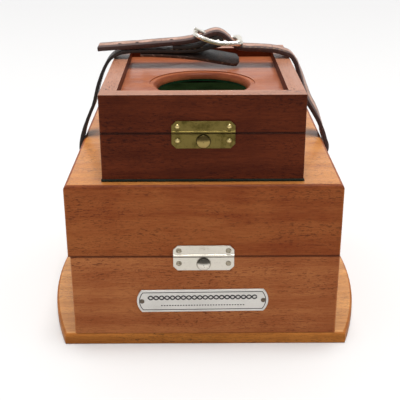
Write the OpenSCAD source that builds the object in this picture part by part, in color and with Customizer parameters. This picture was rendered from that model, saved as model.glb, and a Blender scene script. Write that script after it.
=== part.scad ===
// Marine chronometer: a gimbal box on a base board, a carrying box with a round
// window standing on its lid, and the leather strap that holds the two together.
// Origin at the centre of the base board's underside, +X right, -Y front, +Z up.

/* [Base board] */
// Width of the board along its straight front edge
board_w = 178; // [172:1:186]
// Depth of the board, front to back
board_d = 185; // [185:1:190]
// Thickness of the board
board_t = 7.3; // [6:0.1:8]
// How far each curved end swells past the straight width
board_bulge = 16.5; // [10:0.5:20]

/* [Gimbal box] */
// Outer width of the lower box
case_w = 165; // [163:1:168]
// Outer depth of the lower box
case_d = 183; // [182:1:184]
// Height of the seam between case and lid above the table
case_seam_z = 61.15; // [60:0.05:62]
// Height of the lid's top face above the table
lid_top_z = 107.5; // [106:0.5:109]
// Thickness of the case and lid boards
case_wall = 9; // [8:0.5:10]
// Round-over along the lid's top edges
lid_round = 3; // [1:0.5:4]
// How far the lid stands out past the case on its left side
lid_overhang = 1.4; // [0:0.1:2]

/* [Carrying box] */
// Outer width of the upper box
carrier_w = 120; // [118:0.5:121]
// Outer depth of the upper box
carrier_d = 143; // [142:0.5:144]
// Overall height of the upper box above the lower lid
carrier_h = 52.9; // [52:0.1:53.5]
// Height of its seam above the lower lid
carrier_seam_h = 30; // [29:0.5:31]
// Width of the side rails, seen from above
rail_side = 9.8; // [9:0.1:11]
// Width of the front and back rails, seen from above
rail_front = 10.6; // [10:0.1:11]
// Depth of the top panel below the rails
recess = 6.3; // [5:0.1:7]
// Radius of the window's clear opening
window_r = 28.5; // [27:0.5:29]
// Radius of the step around the window's moulding
window_step_r = 33.7; // [33:0.1:34.5]

/* [Strap] */
// Width of the leather strap
strap_w = 17; // [15:1:18]
// Thickness of the leather
strap_t = 2.2; // [1.8:0.1:2.3]
// How far the right half leans outwards at its back edge, as a slope
strap_lean = 0.22; // [0:0.01:0.25]

/* [Gimbals and watch] */
// Height of the gimbal axes above the table
gimbal_z = 52; // [51:0.5:54]
// Outer radius of the gimbal ring
ring_r = 51; // [49:0.5:52]
// Outer radius of the chronometer bowl
bowl_r = 39; // [38:0.5:39.5]
// Radius of the dial
dial_r = 37; // [35:0.5:37.2]

/* [Hidden] */

$fn = 64;

// Half the visible gap at a lid seam, and the glue line between two boards
seam_gap = 0.17;
glue_line = 0.05;
board_front = board_w / 2;
board_side_r = (pow(board_d / 2, 2) + pow(board_bulge, 2)) / (2 * board_bulge);
board_round = 2.2;
board_foot_round = 0.6;

case_front_y = -case_d / 2;
lid_z = case_seam_z + seam_gap;
lid_board_t = 9;
lid_w = case_w + lid_overhang;
case_floor_t = 4;
case_edge_round = 1.2;

carrier_x = -1.3;
carrier_front_y = case_front_y + 6.8;
carrier_y = carrier_front_y + carrier_d / 2;
carrier_back_y = carrier_front_y + carrier_d;
baize_t = 1.6;
carrier_z = lid_top_z + 0.1 + baize_t;
carrier_seam_z = lid_top_z + carrier_seam_h;
carrier_top_z = lid_top_z + carrier_h;
carrier_floor_t = 3;
panel_t = 4.5;
panel_z = carrier_top_z - recess - panel_t;
panel_tongue = 3;
window_y = carrier_front_y + 54.7;
felt_t = 1.5;
cradle_z = carrier_z + carrier_floor_t;
cradle_top_z = carrier_seam_z - 4;
pocket_r = 33;
pocket_depth = 17;

// Latches: heights are measured from the seam, y from the wall's face
latch_w = 37.2;
latch_x = -0.9;
latch_t = 0.8;
lock_plate_h = 8.7;
strike_plate_h = 7.3;
plate_gap = 0.25;
plate_clip = 2.7;
button_drop = 4.6;
button_r = 3.8;
button_dome_r = 7.1;
latch_screw_x = 15.1;
latch_screw_up = 4.3;
latch_screw_down = -4.3;
latch_pocket = [26, 5.6, 8.75];
latch_leg_x = 6.6;
latch_leg_w = 2.6;
latch_leg_y = 2.1;
wood_screw_r = 0.9;
wood_screw_len = 5;
screw_fit = 0.05;

nameplate_x = -1.6;
nameplate_z = 30.9;
nameplate_w = 82;
nameplate_h = 15.4;
nameplate_end_r = 11.1;
nameplate_pin_x = 37.8;
nameplate_tilt = 0.5;

// Hinges: knuckle axes lie just behind the back walls
knuckle_r = 2;
hinge_pin_r = 1;
running = 0.06;
leaf_t = 1.1;
case_hinge_x = 48;
case_hinge_w = 34;
case_leaf_h = 15;
carrier_hinge_x = 34;
carrier_hinge_w = 26;
carrier_leaf_h = 12;

// Strap: centre lines of the two halves, from the lid's side up and over the box
loop_y = 6;
loop_bar_z = 67;
loop_bar_r = 1.5;
loop_bar_x = case_w / 2 + 0.35 + strap_t + 0.35 + loop_bar_r;
loop_turn_r = loop_bar_r + 0.35 + strap_t / 2;
loop_post = 11.5;
loop_post_r = 1.9;
loop_end_x = loop_bar_x + 2;
left_bar_x = loop_bar_x + lid_overhang;
strap_y = 19.5;
buckle_bar = [9.7, strap_y, 172];
buckle_left = [-5.4, strap_y, 176.4];
buckle_right = [24.6, strap_y, 171];
buckle_wire_r = 1.5;
buckle_side_r = 1.3;
prong_r = 1;
prong_hub_r = 2.6;
buckle_half = strap_w / 2 + 1.6;
wrap_r = buckle_wire_r + 0.25 + strap_t / 2;
tongue_t = 1.9;
tongue_w = 16.4;

strap_left_route = [
    [-left_bar_x - loop_turn_r, 7.6, 84],
    [-left_bar_x - loop_turn_r, 6.9, 78],
    [-left_bar_x - loop_turn_r, 6.3, 71],
    for (a = [180 : 30 : 360])
        [-left_bar_x + loop_turn_r * cos(a), 6, loop_bar_z + loop_turn_r * sin(a)],
    [-85.5, 6.3, 74], [-85.6, 6.6, 86], [-85.6, 7.6, 96], [-85.5, 8.8, 103.5],
    [-83.4, 10.4, 112.5], [-80.2, 11.8, 120.6], [-76.6, 12.9, 128.6], [-74.3, 14.0, 136.4],
    [-72.4, 15.2, 143.2],
    [-69.9, 16.4, 150], [-66.9, 17.6, 156], [-63.2, 18.6, 160.9], [-57.5, 19.2, 164.2],
    [-49, strap_y, 165.4], [-41, strap_y, 165.6], [-29.6, strap_y, 165.6],
    [-16, strap_y, 165.4], [-5, strap_y, 165.9], [4, strap_y, 167.8],
    for (a = [270 : 30 : 450])
        buckle_bar + [wrap_r * cos(a), 0, wrap_r * sin(a)],
    [4.4, strap_y, 173.2], [-1, strap_y, 170.3], [-7, strap_y, 168.4], [-21, strap_y, 167.9]];

strap_right_route = [
    [loop_bar_x + loop_turn_r, 7.2, 84],
    [loop_bar_x + loop_turn_r, 6.7, 78],
    [loop_bar_x + loop_turn_r, 6.2, 71],
    for (a = [0 : -30 : -180])
        [loop_bar_x + loop_turn_r * cos(a), 6, loop_bar_z + loop_turn_r * sin(a)],
    [84.1, 6.1, 74], [84.2, 6.2, 86], [84.4, 6.5, 94], [85.6, 7.0, 101], [84.0, 7.8, 107],
    [82.0, 8.8, 113.6],
    [79.1, 10.2, 120.8], [75.8, 11.4, 127], [72.4, 12.6, 132.6], [69.6, 14.0, 140],
    [67.4, 15.2, 146.6], [65.2, 16.6, 153], [63.0, 17.8, 157.9], [59.2, 18.8, 162.2],
    [53.0, 19.3, 164.4], [47.3, strap_y, 165.6], [37.2, strap_y, 166.4], [30, strap_y, 166.6],
    [24.2, strap_y, 167.4], [20.2, strap_y, 169.9], [17.2, strap_y, 172.9],
    [14.3, strap_y, 175.4],
    [11.4, strap_y, 177], [8.4, strap_y, 177.5], [5.2, strap_y, 176.9],
    [1.2, strap_y, 175.3], [-3.6, strap_y, 173.5], [-9, strap_y, 172.2], [-16, strap_y, 171.2],
    [-29.4, strap_y, 170.1], [-49.1, strap_y, 168.6], [-72, strap_y, 167.1]];

tongue_route = [
    [-43, strap_y, 163], [-30, strap_y, 163.2], [-21, strap_y, 163.1], [-10, strap_y, 162.6],
    [0, strap_y, 161.6], [9, strap_y, 160.1], [17, strap_y, 158.7], [24.5, strap_y, 157.6]];

// Gimbals and the chronometer, heights measured from the gimbal axes
ring_inner_r = ring_r - 6;
ring_h = 7;
pivot_r = 1.5;
bracket_arm_x = 54.5;
stay_pivot = [64, -38];
stay_len = 27;
stay_w = 5;
stay_z = gimbal_z - ring_h / 2 - 1.7;
stay_t = 1.4;
bowl_depth = 27;
bowl_top = 10;
bowl_wall = 1.6;
bowl_corner_r = 15;
bezel_r = bowl_r + 2.5;
bezel_top = 15;
crystal_z = 11.8;
crystal_t = 1.6;
dial_z = 6.5;
dial_t = 0.8;
front_plate_z = 2;
front_plate_t = 2;
back_plate_z = -12;
back_plate_t = 1.5;
pillar_ring_r = 31;

// Going train: teeth counts, modules and centres
barrel_teeth = 90;
centre_pinion_teeth = 12;
centre_teeth = 80;
third_pinion_teeth = 10;
third_teeth = 75;
fourth_pinion_teeth = 10;
fourth_teeth = 64;
escape_pinion_teeth = 8;
barrel_module = 0.34;
centre_module = 0.3;
third_module = 0.28;
fourth_module = 0.27;
mesh_slack = 0.12;
barrel_dist = barrel_module * (barrel_teeth + centre_pinion_teeth) / 2 + mesh_slack;
centre_dist = centre_module * (centre_teeth + third_pinion_teeth) / 2 + mesh_slack;
third_dist = third_module * (third_teeth + fourth_pinion_teeth) / 2 + mesh_slack;
fourth_dist = fourth_module * (fourth_teeth + escape_pinion_teeth) / 2 + mesh_slack;
seconds_y = -17;
third_y = -(pow(seconds_y, 2) + pow(centre_dist, 2) - pow(third_dist, 2)) / (2 * -seconds_y);
third_x = sqrt(pow(centre_dist, 2) - pow(third_y, 2));
centre_pos = [0, 0];
barrel_pos = [0, barrel_dist];
third_pos = [third_x, third_y];
fourth_pos = [0, seconds_y];
escape_dir = 220;
escape_pos = fourth_pos + fourth_dist * [cos(escape_dir), sin(escape_dir)];
balance_dir = 137;
balance_pos = escape_pos + 9.4 * [cos(balance_dir), sin(balance_dir)];
cock_dir = 42;
cock_foot = balance_pos + 14.5 * [cos(cock_dir), sin(cock_dir)];

// Colours
mahogany = [0.55, 0.31, 0.19];
dark_mahogany = [0.33, 0.13, 0.09];
oak = [0.70, 0.47, 0.26];
nickel = [0.80, 0.78, 0.73];
old_brass = [0.42, 0.36, 0.20];
gilt = [0.80, 0.62, 0.30];
steel = [0.45, 0.47, 0.52];
blued = [0.10, 0.13, 0.30];
leather_dark = [0.10, 0.07, 0.06];
leather_tan = [0.62, 0.45, 0.36];
felt_green = [0.05, 0.18, 0.10];

// ---- shared shapes ----

// Rectangle from the origin up, with its two top corners rounded
module rounded_top_profile(w, h, r) {
    translate([-w / 2, 0])
        square([w, h - r]);
    translate([-w / 2 + r, 0])
        square([w - 2 * r, h]);
    for (s = [-1, 1])
        translate([s * (w / 2 - r), h - r])
            circle(r);
}

// Rectangle centred on the origin, with all four corners rounded
module rounded_square(w, d, r) {
    square([w - 2 * r, d], center = true);
    square([w, d - 2 * r], center = true);
    for (sx = [-1, 1], sy = [-1, 1])
        translate([sx * (w / 2 - r), sy * (d / 2 - r)])
            circle(r);
}

// Upright block with softened vertical edges, standing on z
module plan_block(w, d, r, z, h) {
    translate([0, 0, z])
        linear_extrude(h)
            rounded_square(w, d, r);
}

// Four boards of a box: front and back run the full width, the sides between them
module box_boards(w, d, side_t, end_t, r, z, h) {
    side_len = d - 2 * end_t - 2 * glue_line;
    for (s = [-1, 1]) {
        intersection() {
            plan_block(w, d, r, z, h);
            translate([-w / 2, s < 0 ? -d / 2 : d / 2 - end_t, z])
                cube([w, end_t, h]);
        }
        translate([s < 0 ? -w / 2 : w / 2 - side_t, -side_len / 2, z])
            cube([side_t, side_len, h]);
    }
}

module in_carrier() {
    translate([carrier_x, carrier_y, 0])
        children();
}

module in_watch() {
    translate([0, 0, gimbal_z])
        children();
}

// Cylinder along Y, from y0 to y1, at a place in X and Z
module rod_y(x, z, r, y0, y1) {
    translate([x, y0, z])
        rotate([-90, 0, 0])
            cylinder(r = r, h = y1 - y0);
}

module rod_x(y, z, r, x0, x1) {
    translate([x0, y, z])
        rotate([0, 90, 0])
            cylinder(r = r, h = x1 - x0);
}

// Wire between two points
module wire(a, b, r) {
    v = b - a;
    translate(a)
        rotate([0, acos(v[2] / norm(v)), atan2(v[1], v[0])])
            cylinder(r = r, h = norm(v));
}

// ---- base board ----
module base_board() {
    color(oak)
        intersection() {
            board_disc(-1);
            board_disc(1);
            board_slab();
        }
}

// The board's curved ends are arcs of two large discs, rounded above and just eased below
module board_disc(s) {
    cx = s * (board_front + board_bulge - board_side_r);
    translate([cx, 0, 0])
        rotate_extrude($fn = 360)
            board_rim(board_side_r);
}

module board_rim(reach) {
    square([reach - board_foot_round, board_t - board_round]);
    square([reach - board_round, board_t]);
    translate([0, board_foot_round])
        square([reach, board_t - board_foot_round - board_round]);
    translate([reach - board_foot_round, board_foot_round])
        circle(board_foot_round);
    translate([reach - board_round, board_t - board_round])
        circle(board_round);
}

module board_slab() {
    rotate([90, 0, 90])
        translate([0, 0, -board_w])
            linear_extrude(2 * board_w)
                for (s = [0, 1])
                    mirror([s, 0])
                        board_rim(board_d / 2);
}

// Plate from the seam edge to its far edge, where both corners are clipped
module clipped_plate(w, seam_edge, far_edge) {
    rotate([90, 0, 0])
        linear_extrude(latch_t)
            difference() {
                translate([-w / 2, min(seam_edge, far_edge)])
                    square([w, abs(far_edge - seam_edge)]);
                for (s = [-1, 1])
                    translate([s * w / 2, far_edge])
                        rotate(45)
                            square(plate_clip * sqrt(2), center = true);
            }
}

module latch_holes(z, len) {
    for (s = [-1, 1])
        rod_y(s * latch_screw_x, z, wood_screw_r + screw_fit, -latch_t - 1, len);
}

// Lower plate, with the button's hole
module lock_plate_shape() {
    difference() {
        clipped_plate(latch_w, -plate_gap, -plate_gap - lock_plate_h);
        rod_y(0, -button_drop, button_r + 0.1, -2, 1);
        latch_holes(latch_screw_down, 1);
    }
}

// Upper plate: rolled lip along its foot, and two hooked legs reaching into the pocket
module strike_plate_shape() {
    difference() {
        union() {
            clipped_plate(latch_w, plate_gap, plate_gap + strike_plate_h);
            rod_x(-latch_t, plate_gap + 0.75, 0.75, -latch_w / 2, latch_w / 2);
            translate([-8, -latch_t, plate_gap])
                cube([16, latch_leg_y + latch_t + 0.9, 0.9]);
            for (s = [-1, 1])
                translate([s * latch_leg_x - latch_leg_w / 2, latch_leg_y, 0]) {
                    translate([0, 0, -6.6])
                        cube([latch_leg_w, 0.9, 6.6 + plate_gap + 0.5]);
                    translate([0, 0, -6.6])
                        cube([latch_leg_w, 1.7, 1.1]);
                }
        }
        latch_holes(latch_screw_up, 1);
    }
}

// Leaf with a nib above each hook; its foot is pinned low in the pocket
module latch_spring_shape() {
    foot_z = -latch_pocket[2] + 0.15;
    translate([-9, latch_pocket[1] - 1.5, foot_z])
        cube([18, 0.5, 5.8]);
    translate([-9, latch_pocket[1] - 1.1, foot_z])
        cube([18, 1.05, 1.5]);
    for (s = [-1, 1])
        translate([s * latch_leg_x - 1.5, latch_leg_y + 1.05, -4.9])
            cube([3, latch_pocket[1] - latch_leg_y - 2.5, 1]);
}

// Domed button with a collar behind the plate
module button_shape() {
    translate([0, 0, -button_drop])
        rotate([-90, 0, 0]) {
            translate([0, 0, -1.9])
                cylinder(r = button_r, h = 2.6);
            translate([0, 0, 0.1])
                cylinder(r = button_r + 0.2, h = 0.7);
            translate([0, 0, 0.5])
                cylinder(r = button_r - 0.8, h = 3.4);
            intersection() {
                translate([0, 0, button_dome_r - 3])
                    sphere(r = button_dome_r);
                translate([0, 0, -4])
                    cylinder(r = button_r - 0.01, h = 2.11);
            }
        }
}

// Space cut from the wood below a seam
module latch_pocket_shape() {
    translate([-latch_pocket[0] / 2, -1, -latch_pocket[2]])
        cube([latch_pocket[0], latch_pocket[1] + 1, latch_pocket[2] + 1]);
    latch_holes(latch_screw_down, wood_screw_len + 0.5);
}

// Space cut from the wood above a seam
module latch_notch_shape() {
    translate([-8.3, -1, -1])
        cube([16.6, latch_leg_y + 2.2, 2.5]);
    latch_holes(latch_screw_up, wood_screw_len + 0.5);
}

module at_case_latch() {
    translate([latch_x, case_front_y, case_seam_z])
        children();
}

module at_carrier_latch() {
    translate([latch_x, carrier_front_y, carrier_seam_z])
        children();
}

// Slotted wood screw with a low oval head
module latch_screw(x, z) {
    translate([x, -latch_t, z])
        rotate([-90, 0, 0]) {
            cylinder(r = wood_screw_r, h = latch_t + wood_screw_len);
            difference() {
                translate([0, 0, -0.45])
                    cylinder(r1 = 1.2, r2 = 1.75, h = 0.45);
                translate([-2, -0.25, -0.6])
                    cube([4, 0.5, 0.4]);
            }
        }
}

// Round-headed nail
module latch_nail(x, z) {
    translate([x, -latch_t, z])
        rotate([-90, 0, 0]) {
            cylinder(r = wood_screw_r, h = latch_t + wood_screw_len);
            difference() {
                translate([0, 0, 0.6])
                    sphere(r = 1.6);
                translate([0, 0, 3])
                    cube([6, 6, 6], center = true);
            }
        }
}

// ---- hinges, shared by both boxes; the axis is along X at the origin ----

module knuckle(x0, x1) {
    rod_x(0, 0, knuckle_r, x0, x1);
}

module hinge_bore(w) {
    rod_x(0, 0, hinge_pin_r + running, -w / 2 - 1, w / 2 + 1);
}

// Case leaf: two outer knuckles, plate hanging down
module lower_leaf(w, h) {
    difference() {
        union() {
            for (s = [-1, 1])
                knuckle(s < 0 ? -w / 2 : w / 6 + 0.15, s < 0 ? -w / 6 - 0.15 : w / 2);
            translate([-w / 2, -knuckle_r, -h])
                cube([w, leaf_t, h - knuckle_r - 0.4]);
            for (s = [-1, 1])
                translate([s < 0 ? -w / 2 : w / 6 + 0.15, -knuckle_r, -knuckle_r - 1])
                    cube([w / 3 - 0.15, leaf_t, knuckle_r + 1]);
        }
        hinge_bore(w);
        leaf_holes(w, -h / 2 - 1);
    }
}

// Lid leaf: the middle knuckle, plate standing up
module upper_leaf(w, h) {
    difference() {
        union() {
            knuckle(-w / 6, w / 6);
            translate([-w / 2, -knuckle_r, knuckle_r + 0.4])
                cube([w, leaf_t, h - knuckle_r - 0.4]);
            translate([-w / 6, -knuckle_r, 0])
                cube([w / 3, leaf_t, knuckle_r + 1]);
        }
        hinge_bore(w);
        leaf_holes(w, h / 2 + 1);
    }
}

module leaf_holes(w, z) {
    for (s = [-1, 1])
        rod_y(s * w / 3, z, wood_screw_r + screw_fit, -knuckle_r - 6, 4);
}

module leaf_screws(w, z) {
    for (s = [-1, 1])
        translate([s * w / 3, -knuckle_r + leaf_t, z])
            rotate([90, 0, 0]) {
                cylinder(r = wood_screw_r, h = leaf_t + wood_screw_len);
                translate([0, 0, -0.4])
                    cylinder(r1 = 1.2, r2 = 1.7, h = 0.4);
            }
}

module hinge_pin(w) {
    rod_x(0, 0, hinge_pin_r, -w / 2 - 0.6, w / 2 + 0.6);
    for (s = [-1, 1])
        translate([s * (w / 2 + 0.6), 0, 0])
            rotate([0, 90, 0])
                cylinder(r = 1.6, h = 1, center = true);
}

module at_case_hinges() {
    for (s = [-1, 1])
        translate([s * case_hinge_x, case_d / 2 + knuckle_r, case_seam_z])
            children();
}

module at_carrier_hinges() {
    for (s = [-1, 1])
        translate([carrier_x + s * carrier_hinge_x, carrier_back_y + knuckle_r, carrier_seam_z])
            children();
}

// ---- gimbal box ----

module case_walls() {
    color(mahogany)
        difference() {
            box_boards(case_w, case_d, case_wall, case_wall, case_edge_round,
                board_t, case_seam_z - seam_gap - board_t);
            at_case_latch()
                latch_pocket_shape();
            at_case_hinges()
                leaf_holes(case_hinge_w, -case_leaf_h / 2 - 1);
            nameplate_pin_holes();
        }
}

module case_floor() {
    color(felt_green)
        translate([-case_w / 2 + case_wall, -case_d / 2 + case_wall, board_t])
            cube([case_w - 2 * case_wall, case_d - 2 * case_wall, case_floor_t]);
}

module lock_plate() {
    color(nickel)
        at_case_latch()
            lock_plate_shape();
}

module at_nameplate() {
    translate([nameplate_x, case_front_y, nameplate_z])
        rotate([90, -nameplate_tilt, 0])
            children();
}

module nameplate() {
    color([0.77, 0.76, 0.74])
        at_nameplate()
            linear_extrude(0.8)
                difference() {
                    intersection() {
                        square([nameplate_w, nameplate_h], center = true);
                        union() {
                            square([nameplate_w - 6.6, nameplate_h], center = true);
                            for (s = [-1, 1])
                                translate([s * (nameplate_w / 2 - nameplate_end_r), 0])
                                    circle(nameplate_end_r);
                        }
                    }
                    for (s = [-1, 1])
                        translate([s * nameplate_pin_x, 0])
                            circle(0.75, $fn = 24);
                }
}

module nameplate_pin_holes() {
    at_nameplate()
        for (s = [-1, 1])
            translate([s * nameplate_pin_x, 0, -4.5])
                cylinder(r = 0.75, h = 6, $fn = 24);
}

module nameplate_pins() {
    color([0.12, 0.11, 0.10])
        at_nameplate()
            for (s = [-1, 1])
                translate([s * nameplate_pin_x, 0, 0]) {
                    translate([0, 0, -4])
                        cylinder(r = 0.7, h = 5, $fn = 24);
                    intersection() {
                        sphere(r = 1.75);
                        translate([-3, -3, 0.82])
                            cube([6, 6, 2]);
                    }
                }
}

module case_screws() {
    color([0.20, 0.19, 0.18]) {
        at_case_latch()
            for (s = [-1, 1])
                latch_screw(s * latch_screw_x, latch_screw_down);
        at_case_hinges()
            leaf_screws(case_hinge_w, -case_leaf_h / 2 - 1);
    }
}

module case_hinge_leaves() {
    color(nickel)
        at_case_hinges()
            lower_leaf(case_hinge_w, case_leaf_h);
}

module case_hinge_pins() {
    color(steel)
        at_case_hinges()
            hinge_pin(case_hinge_w);
}

module latch_spring() {
    color(steel)
        at_case_latch()
            latch_spring_shape();
}

module lock_button() {
    color(nickel)
        at_case_latch()
            button_shape();
}

// Two bearing brackets on the side walls, and the shelf that carries the gimbal stay
module gimbal_brackets() {
    wall_x = case_w / 2 - case_wall;
    color(gilt) {
        for (s = [-1, 1])
            difference() {
                union() {
                    translate([s < 0 ? -wall_x : wall_x - 2, -8, gimbal_z - 16])
                        cube([2, 16, 24]);
                    rod_x(0, gimbal_z, 4, s < 0 ? -wall_x + 1 : bracket_arm_x,
                        s < 0 ? -bracket_arm_x : wall_x - 1);
                }
                rod_x(0, gimbal_z, pivot_r + running, s < 0 ? -bracket_arm_x - 8 : bracket_arm_x - 1,
                    s < 0 ? -bracket_arm_x + 1 : bracket_arm_x + 8);
            }
        translate([stay_pivot[0] - 5, stay_pivot[1] - 6, stay_z - 5.2])
            cube([wall_x - stay_pivot[0] + 5, 12, 5]);
        translate([stay_pivot[0], stay_pivot[1], stay_z - 1])
            cylinder(r = 2, h = stay_t + 2);
    }
}

// ---- lower lid ----

module in_lid() {
    translate([-lid_overhang / 2, 0, 0])
        children();
}

module lid_profiles() {
    h = lid_top_z - lid_z;
    in_lid()
        intersection() {
            plan_block(lid_w, case_d, case_edge_round, lid_z, h);
            translate([0, case_d / 2, lid_z])
                rotate([90, 0, 0])
                    linear_extrude(case_d)
                        rounded_top_profile(lid_w, h, lid_round);
            translate([-lid_w / 2, 0, lid_z])
                rotate([90, 0, 90])
                    linear_extrude(lid_w)
                        rounded_top_profile(case_d, h, lid_round);
        }
}

module lid_top_board() {
    color(mahogany)
        intersection() {
            lid_profiles();
            translate([-case_w, -case_d, lid_top_z - lid_board_t])
                cube([2 * case_w, 2 * case_d, lid_board_t]);
        }
}

module lid_walls() {
    color(mahogany)
        difference() {
            in_lid()
                box_boards(lid_w, case_d, case_wall, case_wall, case_edge_round,
                    lid_z, lid_top_z - lid_board_t - lid_z);
            at_case_latch()
                latch_notch_shape();
            at_case_hinges()
                leaf_holes(case_hinge_w, case_leaf_h / 2 + 1);
            at_loops()
                loop_posts(loop_post_r + screw_fit, case_w / 2 - 6, case_w / 2 + 1);
        }
}

module strike_plate() {
    color(nickel)
        at_case_latch()
            strike_plate_shape();
}

module lid_screws() {
    color([0.20, 0.19, 0.18]) {
        at_case_latch()
            for (s = [-1, 1])
                latch_screw(s * latch_screw_x, latch_screw_up);
        at_case_hinges()
            leaf_screws(case_hinge_w, case_leaf_h / 2 + 1);
    }
}

module lid_hinge_leaves() {
    color(nickel)
        at_case_hinges()
            upper_leaf(case_hinge_w, case_leaf_h);
}

// Staple-shaped loops that the strap's ends are sewn around
module strap_loops() {
    color(nickel)
        at_loops() {
            rod_y(loop_bar_x, loop_bar_z, loop_bar_r, loop_y - loop_post, loop_y + loop_post);
            loop_posts(loop_post_r, case_w / 2 - 5.5, loop_end_x);
        }
}

// The right loop's place, and its mirror image on the lid's left wall
module at_loops() {
    children();
    translate([-lid_overhang, 0, 0])
        mirror([1, 0, 0])
            children();
}

module loop_posts(r, x0, x1) {
    for (y = [-loop_post, loop_post])
        rod_x(loop_y + y, loop_bar_z, r, x0, x1);
}

// ---- carrying box ----

module carrier_walls() {
    color(dark_mahogany)
        difference() {
            in_carrier()
                box_boards(carrier_w, carrier_d, rail_side, rail_front, 0.4,
                    carrier_z, carrier_seam_z - seam_gap - carrier_z);
            at_carrier_latch()
                latch_pocket_shape();
            at_carrier_hinges()
                leaf_holes(carrier_hinge_w, -carrier_leaf_h / 2 - 1);
        }
}

module carrier_inside(z, h, gap) {
    in_carrier()
        translate([-carrier_w / 2 + rail_side + gap, -carrier_d / 2 + rail_front + gap, z])
            cube([carrier_w - 2 * (rail_side + gap), carrier_d - 2 * (rail_front + gap), h]);
}

module carrier_floor() {
    color(dark_mahogany)
        carrier_inside(carrier_z, carrier_floor_t, 0);
}

module carrier_baize() {
    color(felt_green)
        in_carrier()
            plan_block(carrier_w - 0.4, carrier_d - 0.4, 0.6, carrier_z - baize_t, baize_t);
}

module watch_cradle() {
    color([0.45, 0.33, 0.22])
        difference() {
            carrier_inside(cradle_z, cradle_top_z - cradle_z, 0.2);
            translate([carrier_x, window_y, cradle_top_z - pocket_depth])
                cylinder(r = pocket_r, h = pocket_depth + 1);
        }
}

// Felt over the cradle and down the pocket
module cradle_felt() {
    color(felt_green) {
        difference() {
            carrier_inside(cradle_top_z, felt_t, 0.3);
            translate([carrier_x, window_y, cradle_top_z - 1])
                cylinder(r = pocket_r - felt_t, h = felt_t + 2);
        }
        translate([carrier_x, window_y, cradle_top_z - pocket_depth + 0.1])
            difference() {
                cylinder(r = pocket_r - 0.1, h = pocket_depth);
                translate([0, 0, felt_t])
                    cylinder(r = pocket_r - felt_t, h = pocket_depth + 1);
            }
    }
}

module carrier_lock_plate() {
    color(old_brass)
        at_carrier_latch()
            lock_plate_shape();
}

module carrier_nails() {
    color(old_brass) {
        at_carrier_latch()
            for (s = [-1, 1])
                latch_nail(s * latch_screw_x, latch_screw_down);
        at_carrier_hinges()
            leaf_screws(carrier_hinge_w, -carrier_leaf_h / 2 - 1);
    }
}

module carrier_hinge_leaves() {
    color(old_brass)
        at_carrier_hinges()
            lower_leaf(carrier_hinge_w, carrier_leaf_h);
}

module carrier_hinge_pins() {
    color(steel)
        at_carrier_hinges()
            hinge_pin(carrier_hinge_w);
}

module carrier_button() {
    color(old_brass)
        at_carrier_latch()
            button_shape();
}

module carrier_latch_spring() {
    color(steel)
        at_carrier_latch()
            latch_spring_shape();
}

// ---- cover of the carrying box ----

// Four rails, grooved inside for the panel
module cover_rails() {
    color(dark_mahogany)
        difference() {
            in_carrier()
                box_boards(carrier_w, carrier_d, rail_side, rail_front, 0.4,
                    carrier_seam_z + seam_gap, carrier_top_z - carrier_seam_z - seam_gap);
            carrier_inside(panel_z - 0.05, panel_t + 0.1, -panel_tongue - 0.1);
            at_carrier_latch()
                latch_notch_shape();
            at_carrier_hinges()
                leaf_holes(carrier_hinge_w, carrier_leaf_h / 2 + 1);
        }
}

// Panel with the window: a fine step, then a quarter-round down to the opening
module window_panel() {
    step = 0.5;
    mould_r = panel_t - step - 0.4;
    color([0.62, 0.36, 0.25])
        difference() {
            carrier_inside(panel_z, panel_t, -panel_tongue);
            translate([carrier_x, window_y, panel_z])
                rotate_extrude($fn = 96)
                    difference() {
                        translate([0, -1])
                            square([window_step_r, panel_t + 2]);
                        translate([window_r, -2])
                            square([window_step_r - window_r + 1, 2 + panel_t - step - mould_r]);
                        translate([window_r + mould_r, -2])
                            square([window_step_r - window_r, 2 + panel_t - step]);
                        translate([window_r + mould_r, panel_t - step - mould_r])
                            circle(mould_r);
                    }
        }
}

// Felt under the panel and down the inside of the rails
module cover_lining() {
    color(felt_green)
        difference() {
            carrier_inside(carrier_seam_z + 1, panel_z - carrier_seam_z - 1.1, 0.1);
            carrier_inside(carrier_seam_z, panel_z - carrier_seam_z - 0.1 - felt_t, 0.1 + felt_t);
            translate([carrier_x, window_y, panel_z - 5])
                cylinder(r = window_r + 0.6, h = 10);
        }
}

module cover_strike_plate() {
    color(old_brass)
        at_carrier_latch()
            strike_plate_shape();
}

module cover_nails() {
    color(old_brass) {
        at_carrier_latch()
            for (s = [-1, 1])
                latch_nail(s * latch_screw_x, latch_screw_up);
        at_carrier_hinges()
            leaf_screws(carrier_hinge_w, carrier_leaf_h / 2 + 1);
    }
}

module cover_hinge_leaves() {
    color(old_brass)
        at_carrier_hinges()
            upper_leaf(carrier_hinge_w, carrier_leaf_h);
}

// ---- strap ----

function unit(v) = v / norm(v);

// Direction of travel, and the strap's width direction square to it
function heading(p, i) = unit(p[min(i + 1, len(p) - 1)] - p[max(i - 1, 0)]);
function across(t, lean) = unit([lean, 1, 0] - ([lean, 1, 0] * t) * t);

// Slope of the band's width direction at height z: none at the loop or on the box
function lean_at(z, most) = most * sin(180 * min(1, max(0, (z - 103) / 53)));

// Flat band swept along a route, with its side faces square to the surface
module band(p, w, t, lean = 0) {
    n = len(p);
    rings = [for (i = [0 : n - 1])
        let (d = heading(p, i), wide = across(d, lean_at(p[i][2], lean)),
             a = wide * w / 2, b = cross(d, wide) * t / 2)
        each [p[i] - a - b, p[i] + a - b, p[i] + a + b, p[i] - a + b]];
    sides = [for (i = [0 : n - 2], k = [0 : 3])
        [4 * i + k, 4 * i + (k + 1) % 4, 4 * (i + 1) + (k + 1) % 4, 4 * (i + 1) + k]];
    caps = [[3, 2, 1, 0], [4 * n - 4, 4 * n - 3, 4 * n - 2, 4 * n - 1]];
    halves = [for (f = sides) each [[f[0], f[1], f[2]], [f[0], f[2], f[3]]]];
    polyhedron(rings, concat(caps, halves));
}

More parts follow.
